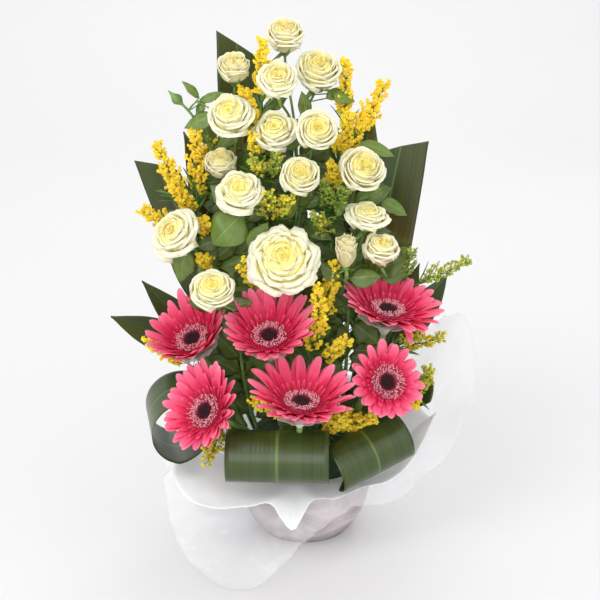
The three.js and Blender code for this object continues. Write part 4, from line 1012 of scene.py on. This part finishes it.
class DressRoseSprays(bpy.types.Operator):
    """Makes the roses' branching stems, calyces and leaves"""
    bl_idname = "arrangement.rose_sprays"
    bl_label = "Rose sprays"

    def execute(self, context):
        settings = context.scene.foliage_settings
        leaf = leaf_material("rose leaf", settings.rose_leaf, linear("#8fb061"), 9, 0.42, True)
        stem = stem_material("rose stem", "#466b2c", "#7f9d50")
        for number, (name, (socket, fork, roses, leaves)) in enumerate(ROSE_SPRAYS.items()):
            rng = random.Random(200 + number)
            tree = node_tree(name)
            socket = Vector((*socket, SOCKET_Z))
            fork = Vector(fork)
            trunk = stem_along(tree, socket, fork, (fork - socket).normalized())
            bm = fresh()
            rod(bm, trunk, ROSE_STEM_R, 10, 30, 1)
            paths = [trunk]
            heads = []
            for rose in roses:
                if rose == "bud":
                    at, facing = GREEN_BUD
                    heads.append((Vector(at), Vector(facing).normalized(), 18, None))
                else:
                    at, width, facing, depth_share, _form = ROSES[rose]
                    facing = Vector(facing).normalized()
                    depth = width * depth_share
                    heads.append((Vector(at) - facing * depth / 2, facing, width, depth))
            for base, facing, width, depth in heads:
                end = base - facing * 0.17 * width
                start = nearest_on([trunk], end - UP * 25)
                reach = (start - end).length

                def twig_path(bend):
                    return bezier(start, start.lerp(end, 0.35) + UP * 6 + bend,
                                  end - facing * 0.32 * reach + bend * 0.7, end)

                twig = follow(tree, start, end, twig_path)
                paths.append(twig)
                rod(bm, twig, ROSE_TWIG_R, 8, 16, 1)
                if depth is None:
                    profile = [1.3, 3.4, 5.5, 5.0, 2.8, 1.3, 0.5]
                    rod(bm, bezier(end, base + facing * 17), lambda t: smooth_between(profile, t), 12, 16, 1)
                else:
                    calyx(bm, base, facing, width, depth, rng, 1)
            for entry in leaves:
                rose_leaf(bm, entry, paths, tree, rng)
            inner_leaves(bm, paths, INNER_LEAVES[name], rng)
            make_piece(bm, f"{name}_fine", [leaf, stem], [name])
        return {"FINISHED"}


# ---------------------------------------------------------------- goldenrod

CLUSTER = 58   # longest crowded part of a goldenrod branch


def floret_shape(bm, is_star):
    """One floret: a small cup that opens into a pointed star, or an unopened bud."""
    made = bmesh.ops.create_cone(bm, cap_ends=True, cap_tris=True, segments=8, radius1=0.15,
                                 radius2=0.5 if is_star else 0.21, depth=1.0 if is_star else 0.9)["verts"]
    if is_star:
        for vert in made:
            flat = math.hypot(vert.co.x, vert.co.y)
            if vert.co.z > 0.1 and flat > 0.1:
                column = round(math.atan2(vert.co.y, vert.co.x) / (math.tau / 8))
                vert.co.xy *= 1.3 if column % 2 else 0.5
            elif vert.co.z > 0.1:
                vert.co.z += 0.28
    return made


def plume(path, length, ripeness, size, rng):
    """The crowded outer part of one branch: short side twigs, each with its row of florets."""
    bm = fresh()
    crowded = crowded_from(length)
    twigs = int(10 + length * (1 - crowded) * 0.5)
    for i in range(twigs):
        along = (i + rng.random()) / twigs
        t = crowded + (1 - crowded) * along
        spot = path(min(t, 1))
        tangent = (path(min(t + 0.02, 1)) - path(max(t - 0.02, 0))).normalized()
        around = place_facing(spot, tangent)
        angle = i * 2.4 + rng.uniform(-0.5, 0.5)
        out = spoke(around, angle)
        reach = rng.uniform(0.55, 1.3) * (14.5 - 9 * along)
        way = (out * 0.9 + tangent * rng.uniform(0.7, 1.2)).normalized()
        twig = bezier(spot, spot + way * reach * 0.6, spot + way * reach + UP * reach * 0.25)
        sprig = fresh()
        layer = sprig.verts.layers.float["tone"]
        rod(sprig, twig, 0.3, 4, 3, 0)
        count = int(3 + reach * (0.75 if ripeness > 0.5 else 0.55))
        for j in range(count):
            s = 0.3 + 0.7 * (j + rng.random()) / count
            lean = Vector((rng.uniform(-1, 1), rng.uniform(-1, 1), rng.uniform(-0.2, 1))).normalized()
            is_star = rng.random() < ripeness * 0.9
            scale = size * rng.uniform(0.7, 1.1) * (1 if is_star else 0.8)
            aim = (lean + way * 0.9).normalized()
            made = floret_shape(sprig, is_star)
            matrix = place_facing(twig(s) + aim * scale * 0.5, aim) @ Matrix.Scale(scale, 4)
            ripe = min(1, max(0, ripeness * 0.85 + rng.uniform(-0.12, 0.15)))
            for vert in made:
                vert[layer] = ripe * (0.55 if vert.co.z < 0 else 1)
                vert.co = matrix @ vert.co
            for face in {face for vert in made for face in vert.link_faces}:
                face.material_index = 1
        joined(bm, sprig)
    return bm


def crowded_from(length):
    """Where along a branch its florets begin."""
    return max(0.28, 1 - CLUSTER / length)


def narrow_leaves(bm, path, until, rng):
    """Narrow leaves up the bare part of a stem."""
    t = 0.12
    while t < until:
        spot = path(t)
        tangent = (path(t + 0.02) - path(t - 0.02)).normalized()
        around = place_facing(spot, tangent)
        angle = rng.uniform(0, math.tau)
        out = spoke(around, angle)
        along = (out + tangent * rng.uniform(0.9, 1.6)).normalized()
        side = along.cross(out).normalized()
        length = rng.uniform(16, 30)
        bow = rng.uniform(0.1, 0.3)

        def blade(u, v):
            half = 1.9 * math.sin(math.pi * min(0.98, 0.06 + v * 0.92)) ** 0.8
            return spot + along * length * v + side * u * half + out * (bow * length * v * v + abs(u) * 0.5)

        grow(bm, 2, 6, blade, 2, thickness=NARROW_LEAF_THICKNESS)
        t += rng.uniform(0.022, 0.045)


class DressGoldenrod(bpy.types.Operator):
    """Makes the goldenrod's stems, side twigs, narrow leaves and florets"""
    bl_idname = "arrangement.goldenrod"
    bl_label = "Goldenrod"

    def execute(self, context):
        settings = context.scene.foliage_settings
        stem = stem_material("goldenrod stem", "#3f6325", "#6f8f3b")
        floret = floret_material(settings)
        leaf = leaf_material("goldenrod leaf", linear("#4c7a2c"), linear("#7fa44f"), 3, 0.5, False)
        for number, (name, (socket, top, tips)) in enumerate(GOLDENROD.items()):
            rng = random.Random(300 + number)
            tree = node_tree(name)
            socket = Vector((*socket, SOCKET_Z))
            top = Vector(top)
            trunk = stem_along(tree, socket, top, (top - socket).normalized())
            bm = fresh()
            green = fresh()
            rod(green, trunk, GOLDENROD_STEM_R, 8, 24, 0)
            narrow_leaves(green, trunk, 1, rng)
            for entry in tips:
                tip, ripeness = Vector(entry[0]), entry[1]
                start = nearest_on([trunk], tip - UP * (tip - top).length * 0.4)
                middle = Vector(entry[2]) if len(entry) > 2 else start.lerp(tip, 0.55) - UP * 6
                path = follow(tree, start, tip, lambda bend: bezier(start, middle + bend, tip))
                length = sum((path((i + 1) / 20) - path(i / 20)).length for i in range(20))
                rod(green, path, lambda t: GOLDENROD_TWIG_R * (1 - 0.4 * t), 6, 14, 0)
                joined(bm, plume(path, length, ripeness, settings.floret_size / MM, rng))
                narrow_leaves(green, path, crowded_from(length), rng)
            joined(bm, green)
            make_piece(bm, f"{name}_fine", [stem, floret, leaf], [name])
        return {"FINISHED"}


# ---------------------------------------------------------------- broad leaves

# A blade's half width up its length, for a pointed top and for a broad slanted one.
POINTED_SHARES = (0.1, 0.72, 1.0, 0.97, 0.78, 0.42, 0.03)
SLANTED_SHARES = (0.1, 0.72, 1.0, 0.98, 0.94, 0.88, 0.8)


class DressPointedLeaves(bpy.types.Operator):
    """Makes the broad pointed leaves that back the arrangement, each on its stalk"""
    bl_idname = "arrangement.pointed_leaves"
    bl_label = "Pointed leaves"

    def execute(self, context):
        settings = context.scene.foliage_settings
        finish = leaf_material("broad leaf", settings.broad, linear("#6f8f4a"), 22, 0.38, False)
        for number, (socket, foot, tip, width, turn, slant) in enumerate(POINTED_LEAVES):
            name = f"pointed_leaf_{number + 1}"
            foot, tip = Vector(foot), Vector(tip)
            socket = Vector((*socket, SOCKET_Z))
            length = (tip - foot).length
            along = (tip - foot).normalized()
            side = along.cross(Vector((math.sin(turn), -math.cos(turn), 0))).normalized()
            out = side.cross(along).normalized()
            path = stem_along(node_tree(name), socket, foot, along)

            def blade(u, v):
                half = width / 2 * smooth_between(SLANTED_SHARES if slant else POINTED_SHARES, v)
                lift = abs(u) * 0.22 * half - math.sin(v * math.pi) * length * 0.05
                ripple = math.sin(v * 9 + u) * width * 0.012
                cut = 1 - abs(slant) * v * v * (1 - u * math.copysign(1, slant)) * 0.5
                return foot + along * v * length * cut + side * u * half + out * (lift + ripple)

            bm = fresh()
            grow(bm, 14, 44, blade, thickness=POINTED_LEAF_THICKNESS)
            rod(bm, path, STALK_R, 10, 20)
            make_piece(bm, f"{name}_blade", [finish], [name])
        return {"FINISHED"}


class DressLoopedLeaves(bpy.types.Operator):
    """Makes the collar of broad leaves that are rolled over into loops"""
    bl_idname = "arrangement.looped_leaves"
    bl_label = "Looped leaves"

    def execute(self, context):
        settings = context.scene.foliage_settings
        finish = leaf_material("rolled broad leaf", settings.broad, linear("#6d8a3c"), 22, 0.3, False)
        for name, (ends, loop, stalk_foot) in LOOPED_LEAVES.items():
            low, high = Vector(ends[0]), Vector(ends[1])
            axis = (high - low).normalized()
            middle = low.lerp(high, 0.5)
            inwards = Vector(stalk_foot) - middle
            inwards = (inwards - axis * inwards.dot(axis)).normalized()
            over = axis.cross(inwards).normalized()
            if over.z < 0:
                over.negate()
            half = (high - low).length / 2

            def roll(u, v):
                angle = math.radians(20 + 318 * v)
                r = loop * (1 - 0.1 * v)
                share = min(1, 0.3 + 4.2 * v, 0.45 + 3.4 * (1 - v))
                return (middle + axis * u * half * share + inwards * r * math.cos(angle)
                        + over * r * math.sin(angle))

            bm = fresh()
            grow(bm, 20, 80, roll, thickness=LOOPED_LEAF_THICKNESS)
            start = middle + inwards * loop * math.cos(0.35) + over * loop * math.sin(0.35)
            rod(bm, bezier(start, start.lerp(Vector(stalk_foot), 0.5), Vector(stalk_foot)), STALK_R, 10, 8)
            make_piece(bm, f"{name}_blade", [finish], [name])
        return {"FINISHED"}


# ---------------------------------------------------------------- bowl, paper, film and foam

BOWL_PROFILE = (
    (0, 0), (45, 0), (55, 12), (64, 28), (68.5, 46), (71.5, 75), (67.5, 75), (64.5, 46), (58, 27),
    (43, 4), (0, 4),
)

RIM_R = 73      # the sheets pass outside the bowl's rim at this radius
LINE_Z = 58     # how deep the sheets reach inside the bowl


def outline_at(edge):
    """The closed outline through a sheet's corners, as a function of the angle about the bowl."""
    n = len(edge)
    spots = []
    for i in range(n):
        corners = [Vector(edge[(i + k) % n]) for k in (-1, 0, 1, 2)]
        spots += [cubic(*corners, j / 20) for j in range(20)]

    def at(angle):
        towards = Vector((math.cos(angle), math.sin(angle)))
        return max(spots, key=lambda s: s.xy.dot(towards) / s.xy.length)
    return at


def sheet(edge, line_r, rim_z, droop, columns, rows, crinkle, thickness):
    """A sheet that lines the bowl's wall, passes over its rim and spreads to its edge."""
    corner_at = outline_at(edge)
    corners = {}

    def place(u, v):
        angle = math.pi * u
        key = round(u * columns)
        if key not in corners:
            corners[key] = corner_at(angle)
        corner = corners[key]
        out = math.hypot(corner.x, corner.y)
        fold = 2.4 * math.sin(angle / math.tau * 28 * 2.4)
        middle_z = rim_z + (corner.z - rim_z) * 0.5 ** droop + fold * 0.5
        r = smooth_between([line_r, line_r, RIM_R, (RIM_R + out) / 2, out], v)
        z = smooth_between([LINE_Z, rim_z, rim_z, middle_z, corner.z + fold], v)
        spot = Vector((r * math.cos(angle), r * math.sin(angle), z))
        free = max(0, (v - 0.55) / 0.45)
        return spot + crinkle(spot, free)

    bm = fresh()
    verts = grow(bm, columns, rows, place)
    bmesh.ops.remove_doubles(bm, verts=verts, dist=WELD)
    bmesh.ops.recalc_face_normals(bm, faces=bm.faces)
    bmesh.ops.solidify(bm, geom=list(bm.faces), thickness=thickness)
    return bm


class DressPaper(bpy.types.Operator):
    """Makes the white tissue paper that spreads over the bowl's rim"""
    bl_idname = "arrangement.paper"
    bl_label = "Tissue paper"

    def execute(self, context):
        finish = paper_material(context.scene.holder_settings)

        def crinkle(spot, free):
            return UP * free * (2.0 * noise.noise(spot / 22) + 5.0 * abs(noise.noise(spot / 48)))

        bm = sheet(PAPER_EDGE, 62.7, 77.2, 1, 168, 24, crinkle, PAPER_THICKNESS)
        piece = make_piece(bm, "tissue_paper", [finish], ["paper_wrap"], closed=False)
        return {"FINISHED"}


class DressFilm(bpy.types.Operator):
    """Makes the clear crinkled film under the paper"""
    bl_idname = "arrangement.film"
    bl_label = "Clear film"

    def execute(self, context):
        settings = context.scene.holder_settings
        finish = film_material("clear crinkled film", 0.08, 0.42)
        depth = settings.film_crinkle / MM

        def crinkle(spot, free):
            fold = abs(noise.noise(spot / 30)) + 0.5 * abs(noise.noise(spot / 13))
            return UP * free * depth * (3.2 * fold - 0.8)

        bm = sheet(FILM_EDGE, 64.2, 75.8, 1.25, 196, 28, crinkle, FILM_THICKNESS)
        piece = make_piece(bm, "film", [finish], ["film_wrap"], closed=False)
        return {"FINISHED"}


class DressBowl(bpy.types.Operator):
    """Turns the bowl on its axis and gives it its mottled wash"""
    bl_idname = "arrangement.bowl"
    bl_label = "Bowl"

    def execute(self, context):
        bm = fresh()
        spun(bm, BOWL_PROFILE, 96)
        make_piece(bm, "bowl_shell", [bowl_material(context.scene.holder_settings)], ["bowl"])
        return {"FINISHED"}


class DressFoam(bpy.types.Operator):
    """Gives the foam block its soaked, pitted finish"""
    bl_idname = "arrangement.foam"
    bl_label = "Floral foam"

    def execute(self, context):
        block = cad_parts["floral_foam"]
        finish = foam_material()
        if block.material_slots:
            for slot in block.material_slots:
                slot.material = finish
        else:
            block.data.materials.append(finish)
        return {"FINISHED"}


# ---------------------------------------------------------------- stage

# Each soft lamp: name, place and side in metres, power in watts. All but the wall's light the flowers.
LAMPS = (
    ("key", (-0.9, -1.2, 1.6), 0.9, 13), ("front", (-0.2, -2.4, 0.75), 1.5, 15),
    ("fill", (1.3, -1.0, 1.0), 1.4, 4), ("back", (0.3, 1.3, 1.6), 1.2, 4), ("wall", (0, 2.0, 2.0), 2.0, 12),
)
FLOOR_HALF = 3.0       # metres
BACKDROP_HEIGHT = 4
BACKDROP_CURVE = 1.2
WORLD_STRENGTH = 0.95

class SetStage(bpy.types.Operator):
    """Lays the pale floor, hangs the lights and places the camera"""
    bl_idname = "arrangement.stage"
    bl_label = "Stage"

    def execute(self, context):
        bm = fresh()
        bmesh.ops.create_grid(bm, x_segments=1, y_segments=1, size=FLOOR_HALF)
        back = [e for e in bm.edges if all(v.co.y > FLOOR_HALF - 0.1 for v in e.verts)]
        raised = bmesh.ops.extrude_edge_only(bm, edges=back)["geom"]
        bmesh.ops.translate(bm, vec=(0, 0, BACKDROP_HEIGHT),
                            verts=[v for v in raised if isinstance(v, bmesh.types.BMVert)])
        bmesh.ops.bevel(bm, geom=back, affect="EDGES", offset=BACKDROP_CURVE, segments=16, profile=0.5,
                        material=-1)
        mesh = bpy.data.meshes.new("studio_floor")
        bm.to_mesh(mesh)
        bm.free()
        mesh.materials.append(stage_material())
        for polygon in mesh.polygons:
            polygon.use_smooth = True
        floor = bpy.data.objects.new("studio_floor", mesh)
        context.scene.collection.objects.link(floor)

        world = bpy.data.worlds.new("studio")
        world.use_nodes = True
        background = world.node_tree.nodes["Background"]
        background.inputs["Color"].default_value = (1, 1, 1, 1)
        background.inputs["Strength"].default_value = WORLD_STRENGTH
        context.scene.world = world
        context.scene.view_settings.view_transform = "Standard"

        aim = Vector(CAMERA_AIM) * MM
        wall = Vector((0, 2.3, 0))
        for name, spot, size, power in LAMPS:
            target = wall if name == "wall" else aim
            lamp = bpy.data.lights.new(name, "AREA")
            lamp.size = size
            lamp.energy = power
            light = bpy.data.objects.new(name, lamp)
            light.location = spot
            light.rotation_euler = (target - light.location).to_track_quat("-Z", "Y").to_euler()
            context.scene.collection.objects.link(light)

        eye = bpy.data.cameras.new("camera")
        eye.lens = CAMERA_LENS
        eye.clip_start = 0.05
        camera = bpy.data.objects.new("camera", eye)
        tilt = math.radians(CAMERA_ELEVATION)
        away = Vector((0, -math.cos(tilt), math.sin(tilt)))
        camera.location = aim + away * CAMERA_DISTANCE * MM
        camera.rotation_euler = (-away).to_track_quat("-Z", "Y").to_euler()
        context.scene.collection.objects.link(camera)
        context.scene.camera = camera
        return {"FINISHED"}


# ---------------------------------------------------------------- add-on

OPERATORS = (
    SetStage, DressBowl, DressFoam, DressFilm, DressPaper, DressLoopedLeaves, DressPointedLeaves,
    DressGerberaStems, DressGerberaCups, DressGerberas, DressRoseSprays, DressRoses, DressGoldenrod,
)
SETTINGS = {
    "gerbera_settings": GerberaSettings, "rose_settings": RoseSettings,
    "foliage_settings": FoliageSettings, "holder_settings": HolderSettings,
}


class ArrangementPanel(bpy.types.Panel):
    """Lists the arrangement's pieces"""
    bl_idname = "VIEW3D_PT_arrangement"
    bl_label = "Flower arrangement"
    bl_space_type = "VIEW_3D"
    bl_region_type = "UI"
    bl_category = "Arrangement"

    def draw(self, context):
        for name, group in SETTINGS.items():
            box = self.layout.box()
            for prop in group.__annotations__:
                box.prop(getattr(context.scene, name), prop)
        for operator in OPERATORS:
            self.layout.operator(operator.bl_idname)


def register():
    for cls in (*SETTINGS.values(), *OPERATORS, ArrangementPanel):
        bpy.utils.register_class(cls)
    for name, group in SETTINGS.items():
        setattr(bpy.types.Scene, name, PointerProperty(type=group))


def unregister():
    for name in SETTINGS:
        delattr(bpy.types.Scene, name)
    for cls in reversed((*SETTINGS.values(), *OPERATORS, ArrangementPanel)):
        bpy.utils.unregister_class(cls)


def main():
    register()
    for operator in OPERATORS:
        group, name = operator.bl_idname.split(".")
        getattr(getattr(bpy.ops, group), name)()


if __name__ == "__main__":
    main()
